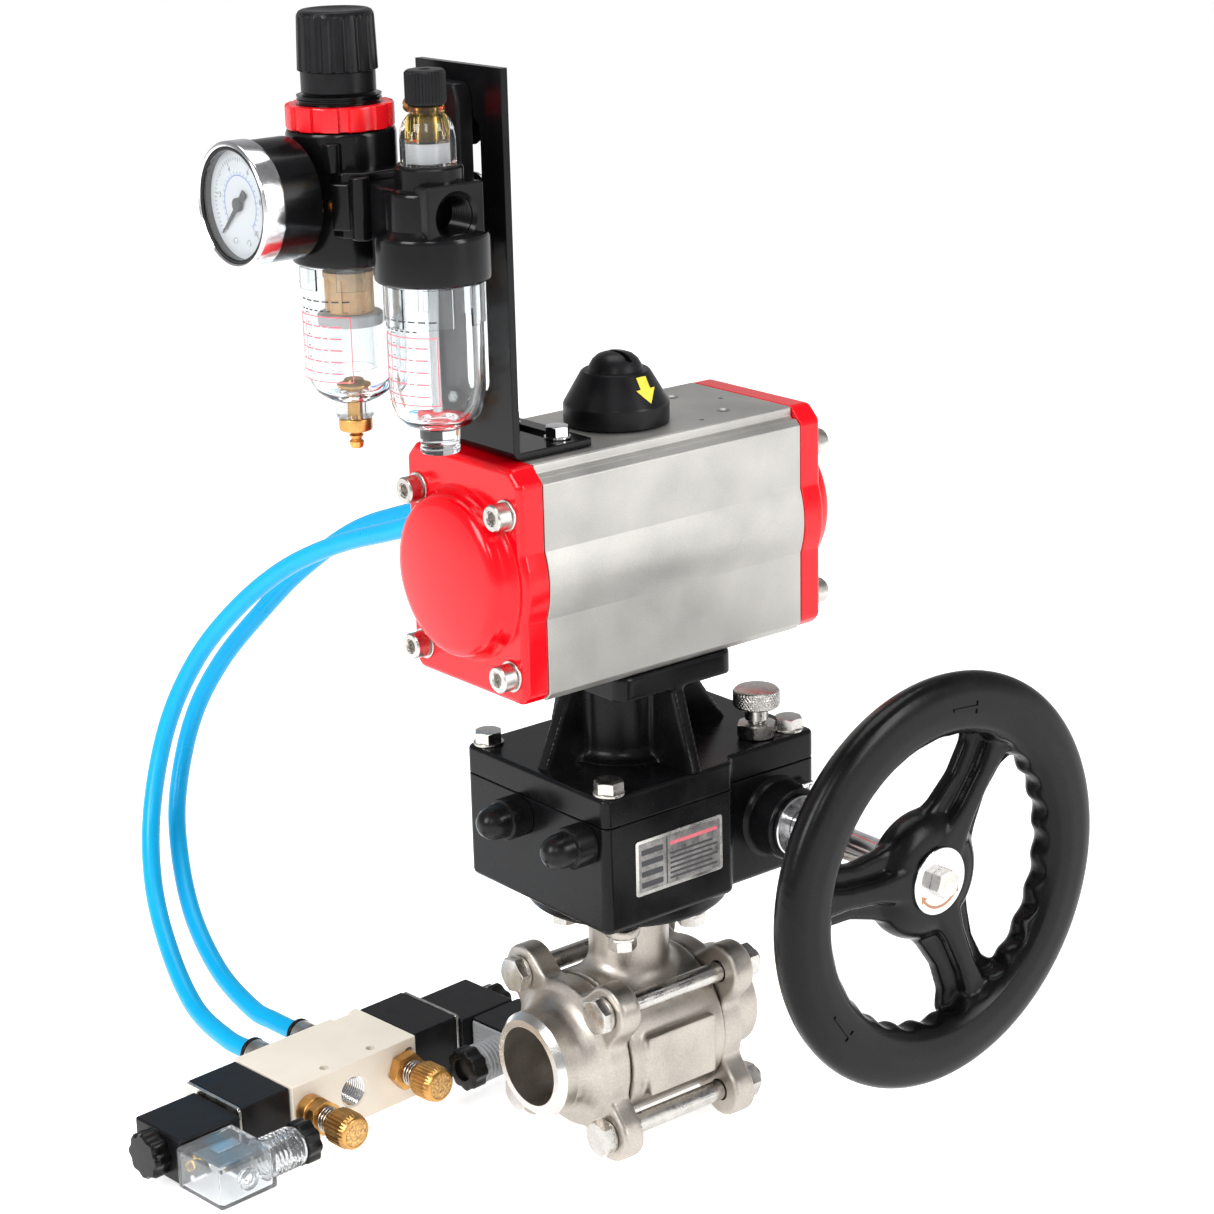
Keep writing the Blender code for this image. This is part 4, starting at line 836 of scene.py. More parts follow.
def handwheel():
    rim = [(56.8, 121.5), (56.2, 125.6), (57.0, 129.6), (60.0, 132.2), (66.0, 133.0),
           (73.4, 132.8), (77.6, 131.6), (79.7, 129.2), (80.0, 126.4), (78.6, 122.6),
           (75.6, 119.2), (71.5, 117.2), (66.5, 116.6), (61.5, 117.6), (58.4, 119.2)]

    def grips(radius, height, angle):
        """Finger grips in the inner edge."""
        share = max(0.0, 64.0 - radius) / 8.0 * max(0.0, min(1.0, (130.0 - height) / 6.0))
        return radius + 1.5 * share * math.cos(27 * angle)

    wheel = turned(rounded(rim, 1.6, 2), "X", WORM, 216, grips)
    place = Matrix.Translation((0, WORM_Y, WORM_Z))
    for degrees in (36.0, 156.0, 276.0):
        spin = place @ Matrix.Rotation(math.radians(-degrees), 4, "X")
        outline = [(-18, 12), (18, 12), (13.0, 26), (10.6, 38), (11.6, 50), (18, 61), (-18, 61),
                   (-11.6, 50), (-10.6, 38), (-13.0, 26)]
        spoke = prism(rounded(outline, 5, 4), "X", 115.0, 121.5, (1.5, 2.4))
        ridge = [(-8.5, 8), (8.5, 8), (5.0, 28), (4.4, 44), (7.0, 62), (-7.0, 62), (-4.4, 44),
                 (-5.0, 28)]
        join(spoke, prism(rounded(ridge, 3, 3), "X", 118.0, 126.4, (0, 2.4)))
        join(wheel, moved(spoke, spin))
    hub = [(0, 104.0), (12.0, 104.0), (12.0, 109.0), (22.0, 111.0), (25.0, 114.0), (25.2, 118.5),
           (23.6, 122.4), (20.4, 125.0), (16.6, 126.0), (0, 126.0)]
    join(wheel, turned(rounded(hub, 1.5, 2, closed=False), "X", WORM, 96))
    melted(wheel, 0.95, 9)
    cut(wheel, rod(6.8, 100.0, 112.5, "X", WORM, 48))
    cut(wheel, rod(5.3, 100.0, 130.0, "X", WORM, 48))
    show(wheel, "handwheel_casting", "satin_black", ["handwheel"], body="handwheel", angle=35)
    arrows = []
    for degrees, way in ((8.0, 1), (232.0, -1)):
        outline = [(-9 * way, -0.8), (3 * way, -0.4), (3 * way, -2.4), (9 * way, -0.8),
                   (3 * way, 2.4), (3 * way, 0.8), (-9 * way, 0.2)]
        arrow = prism([(a, b + 67.5) for a, b in outline], "X", 131.0, 133.4)
        arrows.append(moved(arrow, place @ Matrix.Rotation(math.radians(-degrees), 4, "X")))
    show(gather(*arrows), "rim_arrows", "satin_black", body="handwheel")

    washer = ring(4.0, 13.0, 126.3, 127.5, "X", WORM, 96, edge=0.3)
    show(washer, "hub_washer", "zinc", ["hub_bolt"], body="handwheel")
    mark = curved_arrow(10.0, 0.55, 200, 340)
    mark = prism(mark, "X", 127.3, 127.58)
    show(moved(mark, place), "washer_arrow", "bronze_print", body="handwheel")
    bolt = nut(10, "X", WORM, 127.6, 132.0, turn=14, both=False)
    join(bolt, rod(4.4, 124.2, 128.0, "X", WORM, 40))
    show(bolt, "hub_bolt_head", "bolt", body="handwheel", angle=30)


def curved_arrow(radius, half_width, start, end, steps=18):
    """An arc with an arrow head at each end, as an outline about the origin."""
    a0, a1 = math.radians(start), math.radians(end)
    head = 0.28
    outer, inner = [], []
    for k in range(steps + 1):
        t = a0 + head + (a1 - a0 - 2 * head) * k / steps
        outer.append(((radius + half_width) * math.cos(t), (radius + half_width) * math.sin(t)))
        inner.append(((radius - half_width) * math.cos(t), (radius - half_width) * math.sin(t)))
    tips = []
    for t, tip in ((a1 - head, a1), (a0 + head, a0)):
        wide = 3.2 * half_width
        tips.append([((radius + wide) * math.cos(t), (radius + wide) * math.sin(t)),
                     (radius * math.cos(tip), radius * math.sin(tip)),
                     ((radius - wide) * math.cos(t), (radius - wide) * math.sin(t))])
    return outer + tips[0] + inner[::-1] + tips[1][::-1]


# ---------------------------------------------------------------- actuator

def bulged(top, bottom):
    """A section from its right corners, with the cylinder's bulge on both sides."""
    steps = 12
    heights = [BULGE_RISE * (1 - 2 * k / steps) for k in range(steps + 1)]
    right = top + [(SIDE_X, BULGE_RISE + 3.5)]
    right += [(math.sqrt(BULGE_R ** 2 - z ** 2), z) for z in heights]
    right += [(SIDE_X, -BULGE_RISE - 3.5)] + bottom
    left = [(-x, z) for x, z in reversed(right)]
    return [(x, z + ACT_Z) for x, z in right + left]


def actuator_outline():
    """The extrusion's section: flat top, a groove along each top edge, and the cylinder's bulge."""
    half = SECTION_HALF
    top = [(29.0, half), (29.0, half - 3.4), (29.8, half - 4.4), (32.2, half - 4.4),
           (SIDE_X, half - 6.6)]
    bottom = [(SIDE_X, -half + 3.0), (SIDE_X - 2.5, -half)]
    return rounded(bulged(top, bottom), 1.0, 3)


def socket_screw(x, z, face, side):
    """A socket head screw that stands on its washer on an end cap."""
    head = [(0, 0), (4.6, 0), (5.0, 0.5), (5.0, 5.4), (4.5, 6.0), (2.9, 6.0), (2.6, 5.4), (0, 5.4)]
    start = face + side * 1.0
    screw = turned([(r, start + side * h) for r, h in head], "Y", (x, z), 56,
                   knurl(28, 0.08, *sorted((start + side * 1.0, start + side * 5.3))))
    hole = prism(hexagon(4.6, (x, z), turn=z), "Y", *sorted((start + side * 2.6, start + side * 7)))
    return cut(screw, hole)


def actuator():
    body = prism(actuator_outline(), "Y", -ACT_HALF, ACT_HALF, (0.3, 0.3))
    cut(body, rod(31.5, -ACT_HALF - 1, ACT_HALF + 1, "Y", (0, ACT_Z), 96))
    cut(body, rod(11.0, ACT_LOW - 1, ACT_TOP + 1, "Z", (0, 0), 64))
    hole = [(0, 8.0), (2.2, 8.0), (2.2, -0.7), (2.9, 0.0), (2.9, 1.0), (0, 1.0)]
    shaped = [(r, ACT_TOP + (h if h <= 1.0 else -h)) for r, h in hole]
    for place in corner_places(ACCESSORY_X, ACCESSORY_Y):
        cut(body, turned(shaped, "Z", place, 32))
    for x, y in ((0.0, 52.0), (21.0, 24.0), (-21.0, 24.0)):
        cut(body, rod(1.0, ACT_TOP - 1.5, ACT_TOP + 1, "Z", (x, y), 16))
    for y in (-12.0, 12.0):
        cut(body, rod(6.3, -40.0, -25.0, "X", (y, ACT_Z), 40))
    show(body, "actuator_extrusion", "blasted", ["actuator_body"])
    for side, word in ENDS:
        actuator_cap(side, word)


def cap_outline():
    """The cap follows the extrusion's section without its grooves."""
    top = [(28.6, SECTION_HALF), (SIDE_X, 38.4)]
    bottom = [(SIDE_X, -40.4), (30.6, -SECTION_HALF)]
    return rounded(bulged(top, bottom), 4.0, 5)


def actuator_cap(side, word):
    edges = (2.6, 0.5) if side < 0 else (0.5, 2.6)
    cap = prism(cap_outline(), "Y", *sorted((side * CAP_IN, side * CAP_OUT)), edges, steps=5)
    boss = [(0, 70.0), (34.0, 70.0), (34.0, 72.6), (32.6, 73.4), (31.2, 75.0), (30.6, 77.5),
            (30.2, 79.8), (28.8, 81.6), (26.0, 82.6), (16.0, 83.6), (7.0, 84.0), (0, 84.0)]
    join(cap, turned(mirrored(boss, side), "Y", (0, ACT_Z), 120))
    show(cap, f"{word}_cap_red", "red", [f"{word}_cap"], angle=50)
    screws, washers = [], []
    for x in (-26.6, 26.6):
        for z in (-33.2, 27.0):
            washers.append(rod(5.9, *sorted((side * 72.95, side * 74.0)), "Y", (x, ACT_Z + z), 48,
                               edge=0.3))
            screws.append(socket_screw(x, ACT_Z + z, side * CAP_OUT, side))
    show(gather(*screws, *washers), f"{word}_cap_screws", "bolt", angle=34)


def indicator():
    profile = [(0, 287.4), (19.6, 287.4), (20.0, 287.9), (20.0, 294.4), (19.6, 295.4),
               (13.2, 306.4), (12.5, 307.0), (10.6, 307.0), (10.2, 307.5), (9.9, 308.8),
               (8.6, 311.0), (6.6, 312.7), (3.8, 313.7), (0, 314.0)]
    piece = turned(profile, "Z", (0, 0), 96)
    cut(piece, block((-11, -1.1, 310.6), (11, 1.1, 320), 0.3))
    show(piece, "indicator_cap", "plastic", ["position_indicator"], body="drive", angle=32)
    # the arrow lies on the cone between radii 19 and 13, facing between +X and -Y
    outline = [(-2.3, 0.6), (2.3, 0.6), (2.3, 5.4), (4.6, 5.4), (0, 11.2), (-4.6, 5.4),
               (-2.3, 5.4)]
    arrow = prism(outline, "Z", -0.1, 0.18)
    slope = math.atan2(11.0, 6.4)
    lay = Matrix(((0, -math.cos(slope), math.sin(slope), 0), (1, 0, 0, 0),
                  (0, math.sin(slope), math.cos(slope), 0), (0, 0, 0, 1)))
    flip = Matrix.Rotation(math.pi, 4, "Z")
    place = (Matrix.Rotation(math.radians(4), 4, "Z") @ Matrix.Translation((13.2, 0, 306.4)) @ lay
             @ flip)
    show(moved(arrow, place), "indicator_arrow", "yellow", body="drive")


# ---------------------------------------------------------------- bracket and air preparation

def bracket():
    base = ACT_TOP + 0.3
    outline = [(-31.0, base), (-31.0, base + 3), (PLATE_FRONT, base + 3), (PLATE_FRONT, PLATE_TOP),
               (PLATE_BACK, PLATE_TOP)]
    for k in range(9):
        t = math.pi / 2 * k / 8
        outline.append((PLATE_BACK + 4.0 * (1 - math.cos(t)), base + 4.0 * (1 - math.sin(t))))
    plate = prism(outline, "X", -26.5, 23.5, (0.4, 0.4))
    cut(plate, prism(stadium(44.0, 5.0, 90, (5.5, 359.0)), "Y", PLATE_BACK - 1, PLATE_FRONT + 1))
    cut(plate, prism(stadium(18.0, 3.3, 0, (0, -40.0)), "Z", base - 1, base + 4))
    show(plate, "bracket_plate", "gloss_black", ["mounting_bracket"])
    bolts = []
    for x in (-15.0, 15.0):
        bolts += [rod(5.0, base + 3.05, base + 4.0, "Z", (x, -40.0), 40, edge=0.2),
                  nut(8, "Z", (x, -40.0), base + 4.05, base + 7.8, turn=x, both=False)]
    show(gather(*bolts), "bracket_bolts", "zinc", angle=30)

    clamp = rounded([(-10, 372), (6.5, 372), (6.5, 414), (4.5, 420), (-8, 420), (-10, 414)], 2.0)
    piece = prism(clamp, "Y", -73.0, PLATE_BACK - 0.3, (1.2, 0.0))
    rim = prism(inset(clamp, 2.6), "Y", -76.0, -72.0, (0.6, 0.0))
    join(piece, cut(rim, prism(inset(clamp, 4.4), "Y", -78.0, -71.0)))
    join(piece, block((-7.0, -78.4, 374.0), (3.5, -71.0, 398.0), 1.2, "Y"))
    show(piece, "clamp_plate", "plastic", ["frl_clamp"])
    places = [(2.0, 382.0), (2.0, 404.0)]
    screws = [nut(8, "Y", place, PLATE_FRONT + 1.0, PLATE_FRONT + 4.2, turn=place[1])
              for place in places]
    screws += [rod(6.2, PLATE_FRONT + 0.02, PLATE_FRONT + 1.1, "Y", place, 40)
               for place in places]
    show(gather(*screws), "clamp_screws", "zinc", angle=30)


def regulator():
    profile = [(0, 357.0), (18.8, 357.0), (19.4, 357.6), (19.6, 360.0), (19.6, 402.6),
               (19.0, 403.8), (14.4, 403.8), (14.4, 411.6)]
    for z in (411.9, 413.6, 415.0):
        profile += [(14.2, z), (15.0, z + 0.3), (15.0, z + 0.8), (14.2, z + 1.0)]
    profile.append((0, 416.0))
    body = turned(profile, "Z", REG, 96)
    web = rounded([(-26.0, -109.5), (-14.0, -108.8), (-7.4, -103.0), (-7.4, -83.5), (-26.0, -83.5)],
                  1.5, 3)
    join(body, prism(web, "Z", 368.0, 391.5, (1.2, 1.2)))
    join(body, rod(7.6, -116.6, -100.0, "Y", (REG[0], GAUGE_Z), 48, edge=0.6))
    join(body, rod(3.4, 391.0, 401.0, "Z", (REG[0] + 13.5, REG[1] - 13.0), 24, edge=0.6))
    show(body, "regulator_casting", "gloss_black", ["regulator_body"], angle=34)
    screw = rod(2.3, -20.0, 0.0, "Z", (0, 0), 32, edge=0.4)
    cut(screw, rod(1.2, -0.9, 1.0, "Z", (0, 0), 20))
    aim = Matrix.Translation((-18.3, -109.9, 379.6)) @ Vector((0.35, -0.94, 0)).to_track_quat(
        "Z", "Y").to_matrix().to_4x4()
    show(moved(screw, aim), "regulator_screw", "brass")

    def notched(radius, height, angle):
        wave = math.cos(12 * angle)
        return radius - (1.1 if radius > 17 and wave > 0.35 else 0.0)

    nut_profile = rounded([(14.9, 404.2), (19.2, 404.2), (19.2, 412.8), (14.9, 412.8)], 0.8, 2)
    show(turned(nut_profile, "Z", REG, 192, notched), "panel_nut_red", "red_nut",
         ["panel_nut"], angle=30)

    def fluted(radius, height, angle):
        if not 424.5 <= height <= 443.0 or radius < 12:
            return radius
        return radius - 0.75 * max(0.0, math.cos(18 * angle)) ** 0.6

    knob_profile = [(0, 416.6), (12.9, 416.6), (13.2, 417.0), (13.2, 423.9), (14.2, 424.3),
                    (14.2, 424.6), (14.1, 428.0), (13.9, 434.0), (13.7, 440.0), (13.6, 442.6),
                    (13.4, 443.4), (12.8, 444.4), (11.8, 444.9), (10.6, 445.0), (9.4, 444.5),
                    (5.0, 444.2), (0, 444.1)]
    show(turned(knob_profile, "Z", REG, 216, fluted), "regulator_knob_fluted", "plastic",
         ["regulator_knob"], "regulator_knob", angle=32)


def dial_number(text, size, angle, radius):
    """A generic number on the dial, as flat ink."""
    font = bpy.data.curves.new("number", "FONT")
    font.body = text
    font.size = size
    font.align_x = "CENTER"
    font.align_y = "CENTER"
    font.extrude = 0.05
    number = moved(from_curve(font), Matrix.Rotation(math.radians(90), 4, "X"))
    return moved(number, Matrix.Translation((radius * math.cos(angle), 0,
                                             radius * math.sin(angle))))


def gauge():
    centre = (REG[0], GAUGE_Z)
    case = [(0, -116.9), (7.0, -116.9), (7.0, -117.4), (20.4, -117.4), (21.4, -118.4),
            (21.4, -137.0), (19.5, -137.0), (0, -137.0)]
    show(turned(case, "Y", centre, 96), "gauge_cup", "gloss_black", ["gauge_case"])
    bezel = [(21.45, -133.4), (22.0, -133.7), (22.1, -134.4), (22.1, -141.0), (21.6, -141.8),
             (20.9, -142.1), (20.3, -141.6), (20.3, -138.0), (21.45, -137.0)]
    show(turned(bezel, "Y", centre, 128), "gauge_bezel", "zinc", angle=45)
    lip = ring(18.9, 20.25, -141.4, -137.2, "Y", centre, 128, edge=0.4)
    show(lip, "gauge_lip", "gloss_black")
    show(rod(18.95, -137.6, -137.05, "Y", centre, 96), "gauge_dial", "dial")
    ink = -137.62
    ticks, blue = [], []
    sweep = [math.radians(225 - 270 * k / 50) for k in range(51)]
    for k, angle in enumerate(sweep):
        length = 2.2 if k % 10 == 0 else (1.6 if k % 5 == 0 else 1.0)
        tick = block((-0.11, ink - 0.03, 16.2 - length), (0.11, ink + 0.1, 16.2), 0.03)
        ticks.append(turn_on_dial(tick, angle, centre))
        if k % 2 == 0:
            inner = block((-0.11, ink - 0.03, 10.4), (0.11, ink + 0.1, 11.4), 0.03)
            blue.append(turn_on_dial(inner, angle, centre))
    shift = Matrix.Translation((centre[0], ink + 0.02, centre[1]))
    for value, k in ((0, 0), (2, 10), (4, 20), (6, 30), (8, 40), (10, 50)):
        ticks.append(moved(dial_number(str(value), 2.6, sweep[k], 12.9), shift))
    arc = [(10.2 * math.cos(a), 10.2 * math.sin(a)) for a in sweep]
    arc += [(9.9 * math.cos(a), 9.9 * math.sin(a)) for a in reversed(sweep)]
    blue.append(moved(prism(arc, "Y", -0.05, 0.05), shift))
    show(gather(*ticks), "dial_black_scale", "print_black")
    show(gather(*blue), "dial_blue_scale", "print_blue")
    screws = [rod(1.1, ink - 0.5, ink + 0.2, "Y", (centre[0] + x, centre[1] - 13.0), 24, edge=0.2)
              for x in (-4.0, 4.5)]
    show(gather(*screws), "dial_screws", "zinc")
    needle = [(-6.0, -1.5), (-6.4, 0.0), (-6.0, 1.5), (0.0, 0.9), (15.6, 0.12), (15.6, -0.12),
              (0.0, -0.9)]
    pointer = prism(needle, "Y", GAUGE_FACE + 3.2, GAUGE_FACE + 3.8)
    pointer = moved(pointer, Matrix.Translation((centre[0], 0, centre[1]))
                    @ Matrix.Rotation(-math.radians(225), 4, "Y"))
    join(pointer, rod(2.4, GAUGE_FACE + 2.2, GAUGE_FACE + 4.2, "Y", centre, 40, edge=0.5))
    show(pointer, "needle_black", "print_black", ["gauge_needle"], "gauge_needle")
    window = rod(20.2, -141.0, -140.2, "Y", centre, 96)
    show(window, "gauge_window", "clear")


def turn_on_dial(piece, angle, centre):
    """Turn a mark that is made upright to its place round the dial."""
    spin = Matrix.Rotation(math.pi / 2 - angle, 4, "Y")
    return moved(piece, Matrix.Translation((centre[0], 0, centre[1])) @ spin)


def wrapped_strip(centre, radius, a0, a1, z0, z1, thick=0.12):
    """A thin strip of ink round a bowl, between two angles in degrees and two heights."""
    steps = max(1, int(abs(a1 - a0) / 4))
    angles = [math.radians(a0 + (a1 - a0) * k / steps) for k in range(steps + 1)]
    outline = [((radius + thick) * math.cos(a) + centre[0], (radius + thick) * math.sin(a)
                + centre[1]) for a in angles]
    outline += [((radius - 0.02) * math.cos(a) + centre[0], (radius - 0.02) * math.sin(a)
                 + centre[1]) for a in reversed(angles)]
    return prism(outline, "Z", z0, z1)


def dashes(centre, radius, start, z, spans, gap, end=360.0):
    """A row of ink dashes round a bowl, up to an end angle."""
    row = []
    for span in spans:
        if start + span > end:
            break
        row.append(wrapped_strip(centre, radius, start, start + span, z, z + 0.5))
        start += span + gap
    return row


def bowl_print(name, centre, radius, top):
    """A plain red frame and rows of short dashes, in place of a printed notice."""
    red, black = [], []
    start, end = -118.0, -34.0
    frame_low, frame_high = top - 38.0, top - 14.5
    for z in (frame_low, frame_high):
        red.append(wrapped_strip(centre, radius, start, end, z, z + 0.35))
    for a in (start, end):
        red.append(wrapped_strip(centre, radius, a - 0.6, a + 0.6, frame_low, frame_high))
    for row in range(5):
        spans = [6.0 + 4.5 * ((row * 3 + k * 5) % 3) for k in range(7)]
        red += dashes(centre, radius, start + 6, frame_high - 3.6 - 4.2 * row, spans, 3.5, end - 4)
    for row in range(2):
        spans = [5.0 + 4.0 * ((row + k * 3) % 3) for k in range(6)]
        black += dashes(centre, radius, start + 10, frame_high + 2.0 + 3.4 * row, spans, 4.0)
    show(gather(*red), f"{name}_red_print", "print_red")
    show(gather(*black), f"{name}_black_print", "print_black")


def bowl_lugs(centre, radius, top, count, depth):
    """The lugs of the bayonet collar at a bowl's mouth."""
    starts = [360 * k / count + 12 for k in range(count)]
    return [wrapped_strip(centre, radius, a, a + 200 / count, top - depth, top - 0.4, 0.9)
            for a in starts]


def filter_unit():
    outer = [(17.0, 356.8), (17.0, 330.0), (16.8, 320.0), (15.9, 314.5), (13.6, 310.0),
             (10.0, 307.3), (7.4, 306.6), (7.0, 306.0), (7.0, 300.4), (6.6, 299.8), (4.2, 299.8),
             (3.6, 301.5), (3.6, 308.9)]
    inner = [(8.5, 309.6), (11.8, 311.8), (13.9, 315.6), (14.7, 320.5), (14.8, 330.0),
             (14.8, 356.8)]
    bowl = turned(outer + inner, "Z", REG, 96)
    show(bowl, "filter_bowl_clear", "clear", ["filter_bowl"], angle=42)
    show(gather(*bowl_lugs(REG, 17.0, 356.5, 6, 8.0)), "filter_bowl_lugs", "clear")
    bowl_print("filter", REG, 17.05, 353.7)

    def caged(radius, height, angle):
        return radius - (0.9 if radius > 7.5 and 339.5 < height < 351.0
                         and math.cos(8 * angle) > 0.6 else 0.0)

    core = [(0, 338.6), (8.6, 338.6), (8.8, 339.2), (8.8, 339.6), (8.8, 350.9), (8.8, 351.2),
            (9.2, 351.4), (9.2, 353.4), (0, 353.4)]
    show(turned(core, "Z", REG, 160, caged), "filter_core", "filter", ["filter_element"],
         angle=32)
    baffle = [(0, 334.2), (11.5, 334.2), (11.8, 334.6), (11.8, 337.9), (11.3, 338.4), (0, 338.4)]
    show(turned(baffle, "Z", REG, 80), "filter_baffle", "baffle")
    shade = ring(8.2, 9.0, 318.0, 334.0, "Z", REG, 80, edge=0.2)
    show(shade, "filter_quiet_zone", "clear")

    drain = [(0, 288.0), (1.9, 288.0), (2.4, 288.6), (2.7, 290.4), (1.8, 291.2), (2.7, 292.8),
             (1.8, 293.4), (2.7, 294.9), (2.7, 309.6), (5.6, 309.9), (6.4, 310.7), (6.2, 311.6),
             (4.2, 312.4), (3.4, 313.6), (0, 314.0)]
    show(ring(3.2, 6.1, 294.6, 299.6, "Z", REG, 56, edge=0.8), "drain_collar", "brass")
    show(turned(drain, "Z", REG, 56), "drain_brass", "brass", ["bowl_drain"], "bowl_drain",
         angle=32)


def lubricator():
    profile = [(0, 357.0), (19.4, 357.0), (20.1, 357.7), (20.2, 359.0), (20.2, 371.8),
               (19.6, 373.2), (17.6, 374.2), (16.0, 375.4), (16.0, 386.8), (15.4, 388.0),
               (12.6, 388.0), (11.8, 388.8), (11.8, 395.4), (11.2, 396.0), (10.2, 396.0),
               (10.2, 395.0), (0, 395.0)]
    body = turned(profile, "Z", LUB, 96)
    web = rectangle((-7.0, -106.8), (30.0, -83.2), 2.0)
    join(body, prism(web, "Z", 371.4, 388.6, (1.6, 1.6)))
    join(body, block((26.0, -106.8, 368.9), (34.0, -83.2, 391.1), 0.9, "X"))
    cut(body, turned([(0, 21.0), (7.6, 21.0), (7.6, 32.8), (8.9, 34.1), (8.9, 36.0), (0, 36.0)],
                     "X", OUTLET, 64))
    show(body, "lubricator_casting", "gloss_black", ["lubricator_body"], angle=34)
    show(thread_liner("X", OUTLET, 21.4, 32.4, 7.6, 1.3), "lubricator_thread",
         "gloss_black")
    link = [rod(3.6, 369.5, 391.4, "Z", (-3.0, -108.6), 40, edge=0.8),
            prism(rounded([(-16.0, -113.0), (-9.5, -109.0), (-9.5, -103.0), (-16.0, -104.0)], 1.0),
                  "Z", 371.5, 388.0, (0.8, 0.8)),
            block((-9.0, -109.5, 372.0), (-5.5, -103.5, 389.5), 0.6)]
    show(gather(*link), "unit_link", "gloss_black")

    outer = [(0, 296.0), (6.4, 296.0), (7.0, 296.6), (7.0, 298.6), (6.4, 299.2), (7.0, 299.8),
             (7.2, 304.4), (7.8, 305.4), (11.5, 306.6), (14.6, 309.6), (16.2, 313.8),
             (16.8, 320.0), (16.8, 356.7)]
    inner = [(14.5, 356.7), (14.5, 321.0), (13.8, 315.0), (12.0, 310.8), (9.0, 308.4),
             (0, 307.6)]
    show(turned(outer + inner, "Z", LUB, 96), "lubricator_bowl_clear", "clear",
         ["lubricator_bowl"], angle=42)
    show(gather(*bowl_lugs(LUB, 16.8, 356.5, 6, 14.0)), "lubricator_bowl_lugs", "clear")
    bowl_print("lubricator", LUB, 16.85, 354.0)
    siphon = [(LUB[0] - 2, LUB[1] + 1, 309.0), (LUB[0] - 2.4, LUB[1] + 1, 325.0),
              (LUB[0] - 1, LUB[1], 340.0), (LUB[0], LUB[1], 356.8)]
    show(wire(siphon, 1.7, 6), "siphon_tube", "baffle")

    def ribbed(radius, height, angle):
        return radius + (0.35 * math.cos(10 * angle) if radius > 6 and height < 408 else 0.0)

    dome = [(3.4, 396.3), (9.6, 396.3), (9.6, 405.6), (9.2, 408.4), (8.2, 411.0), (6.6, 413.0),
            (5.6, 413.6), (3.4, 413.6)]
    show(turned(rounded(dome, 0.5, 2), "Z", LUB, 160, ribbed), "sight_dome_clear", "clear",
         ["lubricator_dome"], angle=60)
    show(ring(10.2, 11.0, 395.1, 396.7, "Z", LUB, 64, edge=0.3), "dome_seal", "rubber")
    amber = [(3.0, 404.5), (5.2, 404.5), (5.5, 405.0), (5.5, 413.9), (6.3, 414.2), (6.3, 415.9),
             (3.0, 415.9)]
    show(turned(amber, "Z", LUB, 64), "sight_amber", "amber")
    show(ring(3.4, 5.6, 397.0, 403.8, "Z", LUB, 64, edge=0.3), "sight_insert", "baffle")
    knob = [(0, 399.0), (2.6, 399.0), (2.6, 416.1), (6.0, 416.2), (6.7, 416.9), (6.9, 417.4),
            (6.9, 427.2), (6.6, 427.8), (6.0, 428.2), (2.0, 428.2), (1.6, 427.4), (0, 427.4)]
    show(turned(knob, "Z", LUB, 216, knurl(36, 0.24, 417.2, 427.4)), "oil_knob_knurled", "plastic",
         ["lubricator_knob"], "lubricator_knob", angle=48)
    fill = rod(2.8, 8.6, 13.4, "X", (LUB[1], 415.6), 32, edge=0.7)
    cut(fill, block((8.0, LUB[1] - 4, 415.2), (9.4, LUB[1] + 4, 416.0), 0.1))
    show(fill, "oil_fill_screw", "brass")


def thread_liner(axis, centre, low, high, radius, pitch):
    """Turned thread grooves in a hole."""
    profile = [(radius + 0.35, low), (radius - 0.1, low)]
    count = int((high - low) / pitch)
    step = (high - low) / count
    for k in range(count):
        start = low + (high - low) * k / count
        profile += [(radius - 0.75, start + 0.35 * step), (radius - 0.75, start + 0.5 * step),
                    (radius - 0.1, start + 0.9 * step)]
    profile += [(radius - 0.1, high), (radius + 0.35, high)]
    return turned(profile, axis, centre, 56)


# ---------------------------------------------------------------- solenoid valve

def show_on_valve(obj, name, look, nodes=(), body="base", angle=38):
    """Show a piece that is built in the solenoid valve's own frame."""
    return show(obj, name, look, nodes, body, SOLENOID_FRAME, angle)


def solenoid_block():
    body = block((-19, -32, 0), (19, 32, 27), 0.6)
    cut(body, rod(7.2, -33, 33, "Y", (0, 13.5), 48))
    port = [(0, 0.0), (6.2, 0.0), (6.2, 18.3), (6.9, 19.0), (6.9, 20.0), (0, 20.0)]
    cut(body, turned(port, "X", SUPPLY, 56))
    cut(body, rod(2.1, 12.0, 20.0, "X", (28.0, 21.0), 32))
    for side in (-1, 1):
        cut(body, rod(5.3, 5.0, 20.0, "X", (side * SILENCER_Y, SILENCER_Z), 40))
        cut(body, rod(5.3, -20.0, -5.0, "X", (side * OUTPUT_Y, OUTPUT_Z), 40))
        cut(body, rod(1.9, -1, 28, "Z", (14.3, side * 12.0), 32))
    cut(body, block((-21, 18, 25.2), (-16.5, 28, 29), 0.2))
    show_on_valve(body, "valve_block_cream", "cream", ["solenoid_block"])
    show_on_valve(thread_liner("X", SUPPLY, 1.0, 18.2, 6.2, 1.2), "supply_thread", "zinc")


def lobed(lobes, depth):
    """A rule for a grip with lobes round its rim."""
    return lambda radius, height, angle: radius + depth * math.cos(lobes * angle) * (radius > 7)


